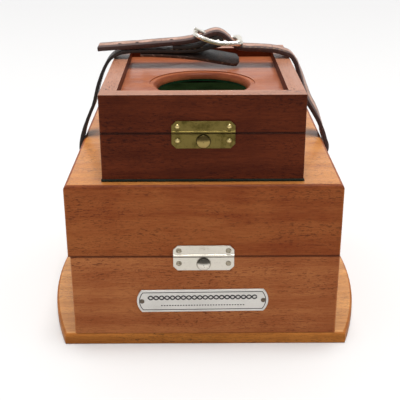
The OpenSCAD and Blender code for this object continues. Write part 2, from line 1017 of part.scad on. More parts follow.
module strap_left() {
    color(leather_dark)
        band(strap_left_route, strap_w, strap_t);
}

// The free half, with the slot that the prong comes up through
module strap_right() {
    color(leather_tan)
        difference() {
            band(strap_right_route, strap_w, strap_t, strap_lean);
            translate([-2.2, strap_y - 1.8, 168])
                cube([8, 3.6, 12]);
        }
}

module chafe_tongue() {
    color(leather_dark)
        band(tongue_route, tongue_w, tongue_t);
}

// Bowed frame with a centre bar; the right end bar is the thicker one
module buckle_frame() {
    ends = [buckle_left, buckle_bar, buckle_right];
    reach = buckle_half + buckle_wire_r;
    color(nickel) {
        for (e = ends)
            rod_y(e[0], e[2], e == buckle_right ? buckle_wire_r + 0.4 : buckle_wire_r,
                strap_y - reach, strap_y + reach);
        for (s = [-1, 1], k = [0, 1])
            wire(ends[k] + [0, s * buckle_half, 0], ends[k + 1] + [0, s * buckle_half, 0],
                buckle_side_r);
    }
}

module buckle_prong() {
    reach = buckle_left - buckle_bar;
    lift = 180 - atan2(reach[2], reach[0]) + asin((buckle_wire_r + prong_r + 0.1) / norm(reach));
    along = [-cos(lift), 0, sin(lift)];
    tip = buckle_bar + (norm(reach) + 1.8) * along;
    root = buckle_bar + 2 * along;
    color(nickel)
        difference() {
            union() {
                rod_y(buckle_bar[0], buckle_bar[2], prong_hub_r, strap_y - 1.4, strap_y + 1.4);
                wire(root, tip, prong_r);
            }
            rod_y(buckle_bar[0], buckle_bar[2], buckle_wire_r + running, strap_y - 2, strap_y + 2);
        }
}

// ---- gimbals ----

module gimbal_ring() {
    color(gilt)
        in_watch()
            difference() {
                translate([0, 0, -ring_h / 2])
                    cylinder(r = ring_r, h = ring_h, $fn = 128);
                translate([0, 0, -ring_h])
                    cylinder(r = ring_inner_r, h = 2 * ring_h, $fn = 128);
                rod_x(0, 0, pivot_r + running, -ring_r - 1, ring_r + 1);
                rod_y(0, 0, pivot_r + running, -ring_r - 1, ring_r + 1);
            }
}

// Four pivot screws set in the ring: two point out to the brackets, two in to the bowl
module gimbal_pivots() {
    color(steel)
        in_watch()
            for (s = [-1, 1]) {
                rod_x(0, 0, pivot_r, s < 0 ? -60 : ring_inner_r + 0.8, s < 0 ? -ring_inner_r - 0.8 : 60);
                rod_y(0, 0, pivot_r, s < 0 ? -ring_r - 0.6 : 41, s < 0 ? -41 : ring_r + 0.6);
            }
}

// Arm that swings under the ring to steady it for carrying
module gimbal_stay() {
    color(gilt)
        translate([stay_pivot[0], stay_pivot[1], stay_z])
            difference() {
                union() {
                    cylinder(r = 4, h = stay_t);
                    translate([-stay_w / 2, 0, 0])
                        cube([stay_w, stay_len - stay_w / 2, stay_t]);
                    translate([0, stay_len - stay_w / 2, 0])
                        cylinder(r = stay_w / 2, h = stay_t);
                }
                translate([0, 0, -1])
                    cylinder(r = 2 + running, h = stay_t + 2);
            }
}

// ---- chronometer ----

module cup_profile(r, bottom, top, corner) {
    translate([0, bottom])
        square([r - corner, top - bottom]);
    translate([0, bottom + corner])
        square([r, top - bottom - corner]);
    translate([r - corner, bottom + corner])
        circle(corner);
}

// Bowl with a ledge for the movement, pivot bosses and the winding hole
module bowl() {
    color(gilt)
        in_watch()
            difference() {
                union() {
                    rotate_extrude($fn = 128)
                        difference() {
                            intersection() {
                                cup_profile(bowl_r, -bowl_depth, bowl_top, bowl_corner_r);
                                translate([0, -bowl_depth])
                                    square([bowl_r, bowl_depth + bowl_top]);
                            }
                            intersection() {
                                cup_profile(bowl_r - bowl_wall, -bowl_depth + bowl_wall, bowl_top + 1,
                                    bowl_corner_r - bowl_wall);
                                translate([0, -bowl_depth])
                                    square([bowl_r, bowl_depth + bowl_top + 1]);
                            }
                        }
                    translate([0, 0, front_plate_z - 1.5])
                        difference() {
                            cylinder(r = bowl_r - bowl_wall + 0.2, h = 1.4);
                            translate([0, 0, -1])
                                cylinder(r = bowl_r - 5, h = 4);
                        }
                    for (s = [-1, 1])
                        rod_y(0, 0, 4, s < 0 ? -ring_inner_r + 1.4 : bowl_r - 1,
                            s < 0 ? -bowl_r + 1 : ring_inner_r - 1.4);
                }
                rod_y(0, 0, pivot_r + running, -ring_inner_r, -40.4);
                rod_y(0, 0, pivot_r + running, 40.4, ring_inner_r);
                translate([barrel_pos[0], barrel_pos[1], -bowl_depth - 1])
                    cylinder(r = 3, h = 4);
            }
}

module bezel() {
    color(gilt)
        in_watch()
            rotate_extrude($fn = 128)
                difference() {
                    union() {
                        translate([bowl_r - 2.5, bowl_top + 0.1])
                            square([5 - 1.5, bezel_top - bowl_top - 0.1]);
                        translate([bowl_r + 0.1, 5])
                            square([2.4, bezel_top - 6.5]);
                        translate([bezel_r - 1.5, bezel_top - 1.5])
                            circle(1.5);
                    }
                    translate([0, crystal_z - 0.1])
                        square([bowl_r - 1, crystal_t + 0.2]);
                }
}

module crystal() {
    color([0.85, 0.92, 0.95, 0.4])
        in_watch()
            translate([0, 0, crystal_z])
                cylinder(r = bowl_r - 1.1, h = crystal_t, $fn = 96);
}

module dial() {
    color([0.93, 0.92, 0.88])
        in_watch()
            difference() {
                translate([0, 0, dial_z])
                    cylinder(r = dial_r, h = dial_t, $fn = 96);
                translate([0, 0, dial_z - 1])
                    cylinder(r = 1.9, h = 4);
                translate([0, seconds_y, dial_z - 1])
                    cylinder(r = 0.9, h = 4);
                translate([0, seconds_y, dial_z + dial_t - 0.25])
                    cylinder(r = 9.5, h = 1);
            }
}

module arbor_holes(z, h) {
    for (p = [centre_pos, third_pos, fourth_pos, escape_pos])
        translate([p[0], p[1], z])
            cylinder(r = p == centre_pos ? 1.06 : 0.56, h = h, $fn = 32);
}

// Front and back plates, held apart by pillars
module movement_plates() {
    color(gilt)
        in_watch() {
            difference() {
                translate([0, 0, front_plate_z])
                    cylinder(r = bowl_r - bowl_wall - 0.4, h = front_plate_t);
                arbor_holes(front_plate_z - 1, front_plate_t + 2);
            }
            difference() {
                translate([0, 0, back_plate_z])
                    cylinder(r = 33, h = back_plate_t);
                arbor_holes(back_plate_z - 1, back_plate_t + 2);
                translate([balance_pos[0], balance_pos[1], back_plate_z - 1])
                    cylinder(r = 1.4, h = 4);
                translate([barrel_pos[0], barrel_pos[1], back_plate_z - 1])
                    cylinder(r = 1.6, h = 4);
            }
            for (a = [20, 135, 200, 290])
                rotate(a)
                    translate([pillar_ring_r, 0, back_plate_z + back_plate_t])
                        cylinder(r = 1.6, h = front_plate_z - back_plate_z - back_plate_t);
        }
}

// Toothed outline: straight-sided teeth, thin enough to mesh with freedom
module gear_outline(teeth, m) {
    pitch_r = teeth * m / 2;
    step = 360 / teeth;
    polygon([for (i = [0 : teeth - 1])
        let (a = i * step)
        each [
            (pitch_r - 1.1 * m) * [cos(a - 0.25 * step), sin(a - 0.25 * step)],
            (pitch_r + 0.8 * m) * [cos(a - 0.11 * step), sin(a - 0.11 * step)],
            (pitch_r + 0.8 * m) * [cos(a + 0.11 * step), sin(a + 0.11 * step)],
            (pitch_r - 1.1 * m) * [cos(a + 0.25 * step), sin(a + 0.25 * step)]]]);
}

// A wheel turned so that a tooth points along dir, with five crossings cut out
module train_wheel(teeth, m, dir, z, t, bore_r) {
    inner = teeth * m / 2 - 1.1 * m;
    translate([0, 0, z])
        linear_extrude(t)
            difference() {
                rotate(dir)
                    gear_outline(teeth, m);
                difference() {
                    circle(inner - 1.2);
                    circle(inner * 0.26 + 1);
                    for (k = [0 : 4])
                        rotate(k * 72)
                            translate([0, -0.6])
                                square([inner, 1.2]);
                }
                circle(bore_r);
            }
}

// A pinion with a gap facing dir
module pinion(teeth, m, dir, z, h, bore_r) {
    translate([0, 0, z])
        linear_extrude(h)
            difference() {
                rotate(dir + 180 / teeth)
                    gear_outline(teeth, m);
                circle(bore_r);
            }
}

module arbor(r, z0, z1) {
    translate([0, 0, z0])
        cylinder(r = r, h = z1 - z0, $fn = 32);
}

module at_axis(p) {
    in_watch()
        translate([p[0], p[1], 0])
            children();
}

function direction(a, b) = atan2(b[1] - a[1], b[0] - a[0]);

module barrel() {
    color(gilt)
        at_axis(barrel_pos)
            difference() {
                union() {
                    translate([0, 0, -9.4])
                        linear_extrude(1)
                            rotate(direction(barrel_pos, centre_pos))
                                gear_outline(barrel_teeth, barrel_module);
                    translate([0, 0, -8.4])
                        cylinder(r = 13, h = 5.2);
                }
                translate([0, 0, -12])
                    cylinder(r = 1.56, h = 12, $fn = 32);
                translate([0, 0, -8])
                    cylinder(r = 12, h = 4);
            }
}

// Arbor of the mainspring, squared at its lower end for the key
module winding_arbor() {
    color(steel)
        at_axis(barrel_pos) {
            arbor(1.5, -22, 1.9);
            translate([0, 0, -24.2])
                cube([2.1, 2.1, 4.6], center = true);
        }
}

module centre_wheel() {
    color(gilt)
        at_axis(centre_pos) {
            train_wheel(centre_teeth, centre_module, direction(centre_pos, third_pos), -1.5, 0.8, 0);
            pinion(centre_pinion_teeth, barrel_module, direction(centre_pos, barrel_pos), -9.9, 2, 0);
            arbor(1, -11.9, 9.7);
        }
}

module third_wheel() {
    color(gilt)
        at_axis(third_pos) {
            train_wheel(third_teeth, third_module, direction(third_pos, fourth_pos), -6, 0.8, 0);
            pinion(third_pinion_teeth, centre_module, direction(third_pos, centre_pos), -2.1, 2, 0);
            arbor(0.5, -11.9, 3.5);
        }
}

module fourth_wheel() {
    color(gilt)
        at_axis(fourth_pos) {
            train_wheel(fourth_teeth, fourth_module, direction(fourth_pos, escape_pos), -3.6, 0.8, 0);
            pinion(fourth_pinion_teeth, third_module, direction(fourth_pos, third_pos), -6.6, 2, 0);
            arbor(0.5, -11.9, 7.9);
        }
}

module escape_wheel() {
    teeth = 15;
    color(gilt)
        at_axis(escape_pos) {
            translate([0, 0, -8.8])
                linear_extrude(0.7)
                    polygon([for (i = [0 : teeth - 1])
                        let (a = i * 360 / teeth)
                        each [4.6 * [cos(a), sin(a)], 6 * [cos(a + 9), sin(a + 9)],
                            5.9 * [cos(a + 12), sin(a + 12)], 4.6 * [cos(a + 13), sin(a + 13)]]]);
            pinion(escape_pinion_teeth, fourth_module, direction(escape_pos, fourth_pos), -4.2, 2, 0);
            arbor(0.5, -11.9, 3.5);
        }
}

module balance_wheel() {
    color(gilt)
        at_axis(balance_pos) {
            translate([0, 0, -17.5])
                difference() {
                    cylinder(r = 10.6, h = 2);
                    translate([0, 0, -1])
                        cylinder(r = 9.4, h = 4);
                }
            translate([-9.7, -0.8, -17])
                cube([19.4, 1.6, 1]);
            arbor(0.6, -20.1, -9);
            translate([0, 0, -13.9])
                cylinder(r = 2.2, h = 0.8);
            for (s = [-1, 1])
                translate([0, s * 9.7, -16.5])
                    rotate([-90 * s, 0, 0])
                        cylinder(r = 0.8, h = 1.8);
        }
}

// Flat spiral, drawn as a band between two spirals
module balance_spring() {
    turns = 5;
    last = turns * 24;
    color(blued)
        at_axis(balance_pos)
            translate([0, 0, -15.2])
                linear_extrude(0.5)
                    polygon([
                        for (i = [0 : last]) (1.5 + 5 * i / last) * [cos(15 * i), sin(15 * i)],
                        for (i = [last : -1 : 0]) (1.7 + 5 * i / last) * [cos(15 * i), sin(15 * i)]]);
}

module balance_cock() {
    color(gilt)
        in_watch()
            difference() {
                union() {
                    translate([cock_foot[0], cock_foot[1], -21.6])
                        cylinder(r = 2.7, h = 21.6 + back_plate_z);
                    translate([balance_pos[0], balance_pos[1], -21.6])
                        rotate(cock_dir)
                            translate([0, -2.4, 0])
                                cube([14.5, 4.8, 1.5]);
                    translate([balance_pos[0], balance_pos[1], -21.6])
                        cylinder(r = 3.6, h = 1.5);
                }
                translate([balance_pos[0], balance_pos[1], -20.9])
                    cylinder(r = 0.66, h = 2, $fn = 32);
            }
}

// Hand outline: hub, tapering blade and a spade near the tip
module hand_shape(len, hub, blade, spade, tail, bore_r) {
    difference() {
        union() {
            circle(hub);
            polygon([[-blade / 2, -tail], [blade / 2, -tail], [blade / 3, len - 0.5], [0, len],
                [-blade / 3, len - 0.5]]);
            if (spade > 0)
                translate([0, len * 0.7])
                    circle(spade);
        }
        circle(bore_r);
    }
}

module hour_hand() {
    color(blued)
        in_watch() {
            translate([0, 0, 8.3])
                linear_extrude(0.35)
                    rotate(60)
                        hand_shape(19, 2.4, 1.3, 1.9, 0, 1.15);
            difference() {
                arbor(1.75, 4.6, 8.3);
                arbor(1.15, 4, 9);
            }
        }
}

module minute_hand() {
    color(blued)
        in_watch() {
            translate([0, 0, 9.3])
                linear_extrude(0.35)
                    rotate(-60)
                        hand_shape(31, 2, 1.1, 1.6, 0, 1);
        }
}

module seconds_hand() {
    color(blued)
        in_watch()
            translate([0, seconds_y, 7.55])
                linear_extrude(0.25)
                    hand_shape(8.3, 0.9, 0.5, 0, 3, 0.5);
}

base_board();
case_walls();
case_floor();
lock_plate();
nameplate();
nameplate_pins();
case_screws();
case_hinge_leaves();
case_hinge_pins();
gimbal_brackets();
latch_spring();
lock_button();
lid_top_board();
lid_walls();
strike_plate();
lid_screws();
lid_hinge_leaves();
strap_loops();
carrier_walls();
carrier_floor();
carrier_baize();
watch_cradle();
cradle_felt();
carrier_lock_plate();
carrier_nails();
carrier_hinge_leaves();
carrier_hinge_pins();
carrier_button();
carrier_latch_spring();
cover_rails();
window_panel();
cover_lining();
cover_strike_plate();
cover_nails();
cover_hinge_leaves();
strap_left();
chafe_tongue();
buckle_frame();
buckle_prong();
strap_right();
gimbal_ring();
gimbal_pivots();
gimbal_stay();
bowl();
bezel();
crystal();
dial();
movement_plates();
barrel();
winding_arbor();
centre_wheel();
third_wheel();
fourth_wheel();
escape_wheel();
balance_wheel();
balance_spring();
balance_cock();
hour_hand();
minute_hand();
seconds_hand();
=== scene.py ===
"""Marine chronometer in its gimbal box, with the carrying box strapped on its lid.

Camera, light, finishes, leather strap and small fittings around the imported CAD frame.
"""
import math
import bmesh
import bpy
from mathutils import Matrix, Vector, noise


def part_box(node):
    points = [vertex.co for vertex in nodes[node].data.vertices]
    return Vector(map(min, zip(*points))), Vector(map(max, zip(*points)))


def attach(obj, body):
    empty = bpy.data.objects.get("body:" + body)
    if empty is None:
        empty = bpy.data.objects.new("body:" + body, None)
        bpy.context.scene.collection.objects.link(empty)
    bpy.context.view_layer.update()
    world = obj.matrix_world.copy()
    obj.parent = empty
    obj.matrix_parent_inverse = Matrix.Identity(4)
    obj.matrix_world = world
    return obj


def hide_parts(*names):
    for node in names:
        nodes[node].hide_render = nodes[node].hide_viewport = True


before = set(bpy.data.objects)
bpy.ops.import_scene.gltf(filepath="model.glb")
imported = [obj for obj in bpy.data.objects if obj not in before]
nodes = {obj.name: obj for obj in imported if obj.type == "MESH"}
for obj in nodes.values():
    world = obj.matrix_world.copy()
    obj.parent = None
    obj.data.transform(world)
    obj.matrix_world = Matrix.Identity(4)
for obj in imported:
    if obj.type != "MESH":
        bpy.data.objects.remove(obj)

scene = bpy.context.scene
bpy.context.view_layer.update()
MM = 0.001


# ---- camera and light ----

def add_camera():
    """The photograph's angle: from above the front, all but level, with a short telephoto lens."""
    data = bpy.data.cameras.new("camera")
    data.sensor_width = 36
    data.lens = 71.9
    camera = bpy.data.objects.new("camera", data)
    camera.location = (-0.00395, -0.5295, 0.27738)
    camera.rotation_euler = [math.radians(a) for a in (67.774, 0.181, -0.196)]
    scene.collection.objects.link(camera)
    scene.camera = camera


def add_light():
    """A broad light overhead, and a white surround that is brighter behind than in front."""
    data = bpy.data.lights.new("overhead", "SUN")
    data.energy = 3.1
    data.angle = math.radians(27)
    data.color = (1.0, 0.985, 0.965)
    lamp = bpy.data.objects.new("overhead", data)
    lamp.rotation_euler = (math.radians(1), math.radians(2), 0)
    scene.collection.objects.link(lamp)
    world = bpy.data.worlds.new("surround")
    world.use_nodes = True
    tree = world.node_tree
    background = tree.nodes["Background"]
    place = tree.nodes.new("ShaderNodeTexCoord")
    split = tree.nodes.new("ShaderNodeSeparateXYZ")
    ramp = tree.nodes.new("ShaderNodeMapRange")
    ramp.interpolation_type = "SMOOTHSTEP"
    ramp.inputs["From Min"].default_value = -0.5
    ramp.inputs["From Max"].default_value = 0.7
    ramp.inputs["To Min"].default_value = 0.42
    ramp.inputs["To Max"].default_value = 0.9
    tree.links.new(place.outputs["Generated"], split.inputs[0])
    tree.links.new(split.outputs["Y"], ramp.inputs["Value"])
    tree.links.new(ramp.outputs[0], background.inputs["Strength"])
    background.inputs["Color"].default_value = (1, 1, 1, 1)
    scene.world = world
    scene.view_settings.view_transform = "Standard"


# ---- node graphs ----

class Graph:
    """One material's node tree, with short calls for what the finishes share."""

    def __init__(self, name):
        self.material = bpy.data.materials.new(name)
        self.material.use_nodes = True
        self.tree = self.material.node_tree
        self.tree.nodes.clear()
        coord = self.add("TexCoord")
        self.place = coord.outputs["Object"]
        self.facing = coord.outputs["Normal"]

    def put(self, socket, value):
        if isinstance(value, bpy.types.NodeSocket):
            self.tree.links.new(value, socket)
        else:
            socket.default_value = value

    def add(self, kind, inputs=None, **settings):
        node = self.tree.nodes.new("ShaderNode" + kind)
        for key, value in settings.items():
            setattr(node, key, value)
        for key, value in (inputs or {}).items():
            self.put(node.inputs[key], value)
        return node

    def math(self, operation, a, b=0.0):
        return self.add("Math", {0: a, 1: b}, operation=operation).outputs[0]

    def vector(self, operation, a, b):
        return self.add("VectorMath", {0: a, 1: b}, operation=operation).outputs[0]

    def split(self, vector):
        return self.add("SeparateXYZ", {0: vector}).outputs

    def noise(self, vector, stretch, detail=2.0, roughness=0.5):
        """Noise whose features are 1 / stretch metres long on each axis."""
        spread = self.vector("MULTIPLY", vector, stretch)
        inputs = {"Vector": spread, "Scale": 1.0, "Detail": detail, "Roughness": roughness}
        return self.add("TexNoise", inputs).outputs[0]

    def cells(self, vector, stretch, feature="F1"):
        spread = self.vector("MULTIPLY", vector, stretch)
        return self.add("TexVoronoi", {"Vector": spread, "Scale": 1.0}, feature=feature).outputs[0]

    def step(self, value, low, high, top=1.0, bottom=0.0):
        """Smooth step from bottom at low to top at high."""
        inputs = {"Value": value, "From Min": low, "From Max": high, "To Min": bottom,
                  "To Max": top}
        return self.add("MapRange", inputs, interpolation_type="SMOOTHSTEP").outputs[0]

    def mix(self, factor, a, b):
        """Colour a where factor is 0, b where it is 1."""
        node = self.add("Mix", {0: factor}, data_type="RGBA")
        self.put(node.inputs[6], a if isinstance(a, bpy.types.NodeSocket) else (*a, 1))
        self.put(node.inputs[7], b if isinstance(b, bpy.types.NodeSocket) else (*b, 1))
        return node.outputs[2]

    def choose(self, factor, a, b):
        """Vector a where factor is 0, b where it is 1."""
        node = self.add("Mix", {0: factor}, data_type="VECTOR")
        self.put(node.inputs[4], a)
        self.put(node.inputs[5], b)
        return node.outputs[1]

    def bump(self, height, depth, normal=None):
        inputs = {"Height": height, "Distance": depth, "Strength": 1.0}
        if normal:
            inputs["Normal"] = normal
        return self.add("Bump", inputs).outputs[0]

    def edges(self, radius):
        """Normal eased over an edge, and a mask that is 1 along it."""
        eased = self.add("Bevel", {"Radius": radius}, samples=4).outputs[0]
        flat = self.add("NewGeometry").outputs["Normal"]
        cosine = self.add("VectorMath", {0: eased, 1: flat}, operation="DOT_PRODUCT")
        return eased, self.step(cosine.outputs["Value"], 0.995, 0.86)

    def finish(self, **inputs):
        shader = self.add("BsdfPrincipled", {k.replace("_", " "): v for k, v in inputs.items()})
        out = self.add("OutputMaterial")
        self.tree.links.new(shader.outputs[0], out.inputs["Surface"])
        return self.material


# ---- finishes ----

def wood(name, dark, light, painted_lit_top_dark, painted_lit_top_light, pore, cross=None, seed=0.0, coat=0.35, pores=1.0,
         seam=0.0, rim=1.0):
    """Varnished board: bands, fibre and pore dashes along the grain, glossier on faces that look
    up, and paler there as a painted highlight of the overhead light.
    cross is (centre, reach) in y of the side boards, whose grain runs along y instead of x.
    seam is the height of an opening joint, where a thin line of painted shade is laid. rim sets the
    strength of a painted shade on rounded edges that turn upward."""
    g = Graph(name)
    x, y, z = g.split(g.place)
    straight = g.vector("ADD", g.place, (seed, seed * 0.7, seed * 1.3))
    if cross:
        off = g.math("ABSOLUTE", g.math("SUBTRACT", y, cross[0]))
        inside = g.math("LESS_THAN", off, cross[1])
        right = g.math("GREATER_THAN", x, 0.0)
        cross_grain = g.add("CombineXYZ", {0: y, 1: g.math("ADD", x, right), 2: z}).outputs[0]
        straight = g.choose(inside, straight, cross_grain)
    drift = g.add("TexNoise", {"Vector": g.vector("MULTIPLY", straight, (9, 26, 26)), "Scale": 1.0,
                               "Detail": 2.0}).outputs["Color"]
    drift = g.vector("MULTIPLY", g.vector("SUBTRACT", drift, (0.5, 0.5, 0.5)), (0, 0.012, 0.012))
    grain = g.vector("ADD", straight, drift)
    bands = g.noise(grain, (5, 85, 85), 4.0, 0.55)
    fibre = g.noise(grain, (90, 1300, 1300), 3.0, 0.6)
    ribbon = g.noise(straight, (34, 12, 12), 2.0)
    dashes = g.step(g.noise(grain, (330, 1500, 1500), 1.0), 0.57, 0.68)
    specks = g.step(g.noise(grain, (800, 2300, 2300), 1.0), 0.58, 0.70, 0.7)
    crowd = g.step(g.noise(grain, (14, 60, 60), 2.0), 0.35, 0.65, 1.0, 0.35)
    marks = g.math("MULTIPLY", g.math("MAXIMUM", dashes, specks), crowd)
    tone = g.math("ADD", g.math("MULTIPLY", bands, 0.9), g.math("MULTIPLY", fibre, 0.55))
    tone = g.math("ADD", tone, g.math("MULTIPLY", ribbon, 0.45))
    tone = g.step(tone, 0.68, 1.22)
    side = g.mix(tone, dark, light)
    # Paler copies of the colours for faces that look up: a painted highlight of the overhead light.
    top = g.mix(tone, painted_lit_top_dark, painted_lit_top_light)
    face_x, face_y, face_z = g.split(g.facing)
    upward = g.step(face_z, 0.90, 0.997)
    # Painted shade on rounded edges that turn upward, stronger where they face the front; rim sets
    # its strength.
    turned = g.math("SUBTRACT", g.step(face_z, 0.1, 0.5), upward)
    turned = g.math("MULTIPLY", turned, g.step(face_y, -0.05, -0.4, rim, 0.35 * rim))
    colour = g.mix(turned, g.mix(upward, side, top), g.mix(0.6, side, g.mix(tone, pore, dark)))
    # Vertical corners are lightened towards the lit colours: partly rubbed wear, partly a painted
    # highlight.
    corner = g.math("ABSOLUTE", g.math("MULTIPLY", face_x, face_y))
    worn = g.step(corner, 0.15, 0.5)
    rub_and_painted_highlight = g.math("MULTIPLY", worn, g.step(g.noise(g.place, (90, 90, 90), 3.0), 0.3, 0.65, 0.7, 0.2))
    colour = g.mix(rub_and_painted_highlight, colour, g.mix(0.5, light, painted_lit_top_light))
    colour = g.mix(g.math("MULTIPLY", marks, 0.72 * pores), colour, pore)
    # A thin line of painted shade along the opening joint.
    if seam:
        near = g.math("ABSOLUTE", g.math("SUBTRACT", z, seam))
        level = g.math("LESS_THAN", g.math("ABSOLUTE", face_z), 0.6)
        painted_seam_shade = g.math("MULTIPLY", level, g.step(near, 0.0011, 0.0003, 0.9))
        colour = g.mix(painted_seam_shade, colour, pore)
    height = g.math("SUBTRACT", g.math("MULTIPLY", fibre, 0.4), marks)
    normal = g.bump(height, 0.00007)
    sheen = g.bump(g.noise(g.place, (60, 60, 60), 2.0), 0.0006)
    rough = g.step(g.noise(grain, (20, 200, 200), 3.0), 0.3, 0.7, 0.52, 0.38)
    gloss = g.math("MULTIPLY", g.math("ADD", g.math("MULTIPLY", upward, 0.95), 0.05), coat)
    shine = g.math("ADD", g.math("MULTIPLY", upward, 0.2), 0.05)
    return g.finish(Base_Color=colour, Roughness=rough, Normal=normal, Coat_Weight=gloss,
                    Coat_Roughness=0.2, Coat_Normal=sheen, Specular_IOR_Level=shine)


def metal(name, clean, tarnish, spots, amount=0.5, rough=0.28, patch=70.0, dome=0.0, button=None,
          relief=0.00002):
    """Worn metal: tarnish in patches and spots, crossing hair scratches, and rubbed edges.
    dome paints shade on the upper half of a button. button is (x, z, radius) of a hole rimmed with
    a ring of painted shade."""
    g = Graph(name)
    clouds = g.noise(g.place, (patch, patch, patch), 5.0, 0.65)
    low = 0.72 - 0.35 * amount
    stained = g.step(clouds, low, low + 0.22)
    flecks = g.step(g.noise(g.place, (900, 900, 900), 2.0), 0.60, 0.72, 0.7)
    eased, worn = g.edges(0.0003)
    colour = g.mix(stained, clean, tarnish)
    colour = g.mix(g.math("MULTIPLY", flecks, amount), colour, spots)
    colour = g.mix(g.math("MULTIPLY", worn, 0.6), colour, clean)
    if dome:
        face_z = g.split(g.facing)[2]
        colour = g.mix(g.step(face_z, -0.05, 0.22, dome), colour, spots)
    # A ring of painted shade round the button's hole in the plate.
    if button:
        x, _, z = g.split(g.place)
        offset = g.add("CombineXYZ", {0: g.math("SUBTRACT", x, button[0]),
                                      1: g.math("SUBTRACT", z, button[1])}).outputs[0]
        gap = g.add("VectorMath", {0: offset}, operation="LENGTH").outputs["Value"]
        button_gap_shade = g.step(gap, button[2] + 0.0007, button[2] + 0.0002, 0.7)
        colour = g.mix(button_gap_shade, colour, spots)
    hair_a = g.step(g.noise(g.place, (260, 4000, 5200), 1.0), 0.62, 0.70)
    leaning = g.add("Mapping", {"Vector": g.place, "Rotation": (0.4, 0.9, 0.7)}).outputs[0]
    hair_b = g.step(g.noise(leaning, (170, 5200, 4300), 1.0), 0.64, 0.72)
    hair = g.math("MAXIMUM", hair_a, hair_b)
    height = g.math("SUBTRACT", g.math("MULTIPLY", clouds, 0.7), hair)
    normal = g.bump(height, relief, eased)
    dull = g.step(clouds, 0.3, 0.7, rough + 0.16, rough)
    dull = g.math("ADD", dull, g.math("MULTIPLY", hair, 0.08))
    return g.finish(Base_Color=colour, Metallic=1.0, Roughness=dull, Normal=normal)


def turned_metal(name, clean, deep, rough=0.24):
    """Lacquered brass or steel with fine turning lines."""
    g = Graph(name)
    lines = g.noise(g.place, (500, 500, 4200), 3.0, 0.6)
    clouds = g.noise(g.place, (45, 45, 45), 4.0)
    eased, worn = g.edges(0.0002)
    colour = g.mix(g.step(clouds, 0.35, 0.7), clean, deep)
    colour = g.mix(g.math("MULTIPLY", worn, 0.4), colour, clean)
    normal = g.bump(lines, 0.000012, eased)
    return g.finish(Base_Color=colour, Metallic=1.0, Normal=normal,
                    Roughness=g.step(lines, 0.3, 0.7, rough + 0.12, rough))


def felt(name, deep, bright, bounce=(0, 0, 0)):
    """Woollen baize: matted fibres, pile lifted in soft patches. bounce is a faint emission that
    stands in for the light thrown about inside a closed box."""
    g = Graph(name)
    fibres = g.noise(g.place, (1500, 1500, 1500), 4.0, 0.7)
    mat = g.cells(g.place, (650, 650, 650))
    patches = g.noise(g.place, (80, 80, 80), 3.0)
    tone = g.math("ADD", g.math("MULTIPLY", fibres, 0.6), g.math("MULTIPLY", patches, 0.5))
    colour = g.mix(g.step(tone, 0.35, 0.75), deep, bright)
    glow = g.mix(g.step(tone, 0.3, 0.75, 1.0, 0.15), (0, 0, 0), bounce)
    normal = g.bump(g.math("ADD", fibres, mat), 0.0004)
    return g.finish(Base_Color=colour, Roughness=0.95, Normal=normal, Sheen_Weight=0.35,
                    Sheen_Roughness=0.4, Sheen_Tint=(*bright, 1), Emission_Color=glow,
                    Emission_Strength=1.0)


def leather(name, base, worn, furrow, gloss=0.38, shine=0.5):
    """Strap leather: pebbled grain, bending creases across it, polish worn through in patches."""
    g = Graph(name)
    pebble = g.cells(g.place, (1300, 1300, 1300), "DISTANCE_TO_EDGE")
    folds = g.noise(g.place, (900, 60, 900), 3.0, 0.6)
    patches = g.noise(g.place, (110, 110, 110), 5.0, 0.65)
    colour = g.mix(g.step(patches, 0.42, 0.68), base, worn)
    colour = g.mix(g.step(folds, 0.58, 0.72, 0.7), colour, furrow)
    height = g.math("ADD", g.step(pebble, 0.0, 0.12), g.math("MULTIPLY", folds, -1.2))
    normal = g.bump(height, 0.00008)
    return g.finish(Base_Color=colour, Normal=normal, Coat_Weight=0.3 * shine, Coat_Roughness=0.25,
                    Roughness=g.step(patches, 0.3, 0.7, gloss + 0.16, gloss),
                    Specular_IOR_Level=shine)


def cut_edge(name, base, raw):
    """Burnished edge of cut leather: layered fibres along the strap."""
    g = Graph(name)
    layers = g.noise(g.place, (120, 2600, 120), 3.0, 0.6)
    frays = g.noise(g.place, (700, 700, 700), 3.0, 0.6)
    colour = g.mix(g.step(frays, 0.52, 0.72), base, raw)
    return g.finish(Base_Color=colour, Roughness=0.55,
                    Normal=g.bump(g.math("ADD", layers, frays), 0.00012))


def enamel(name, base, shade):
    """Silvered or painted dial surface with a fine matt grain."""
    g = Graph(name)
    grain = g.noise(g.place, (2600, 2600, 2600), 2.0)
    cloud = g.noise(g.place, (50, 50, 50), 3.0)
    colour = g.mix(g.step(cloud, 0.4, 0.75), base, shade)
    return g.finish(Base_Color=colour, Roughness=g.step(grain, 0.3, 0.7, 0.5, 0.35),
                    Normal=g.bump(grain, 0.00001))


def glass(name):
    """Clear crystal with faint smears."""
    g = Graph(name)
    smear = g.noise(g.place, (60, 60, 60), 4.0)
    return g.finish(Base_Color=(1, 1, 1, 1), IOR=1.5, Transmission_Weight=1.0,
                    Roughness=g.step(smear, 0.5, 0.75, 0.06))


# ---- what each part wears ----

# Centre and reach in y of the side boards, and heights of the opening joints, in metres.
CASE_CROSS = (0.0, 0.08245)
CARRIER_CROSS = (-0.0132, 0.0609)
CASE_SEAM = 0.06115
CARRIER_SEAM = 0.1375


def button_place(name):
    """(x, z, radius) of a latch button, for the ring of painted shade round it."""
    low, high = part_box(name)
    return ((low.x + high.x) / 2, (low.z + high.z) / 2, (high.x - low.x) / 2)


LOCK_BUTTON = button_place("lock_button")
CARRIER_BUTTON = button_place("carrier_button")

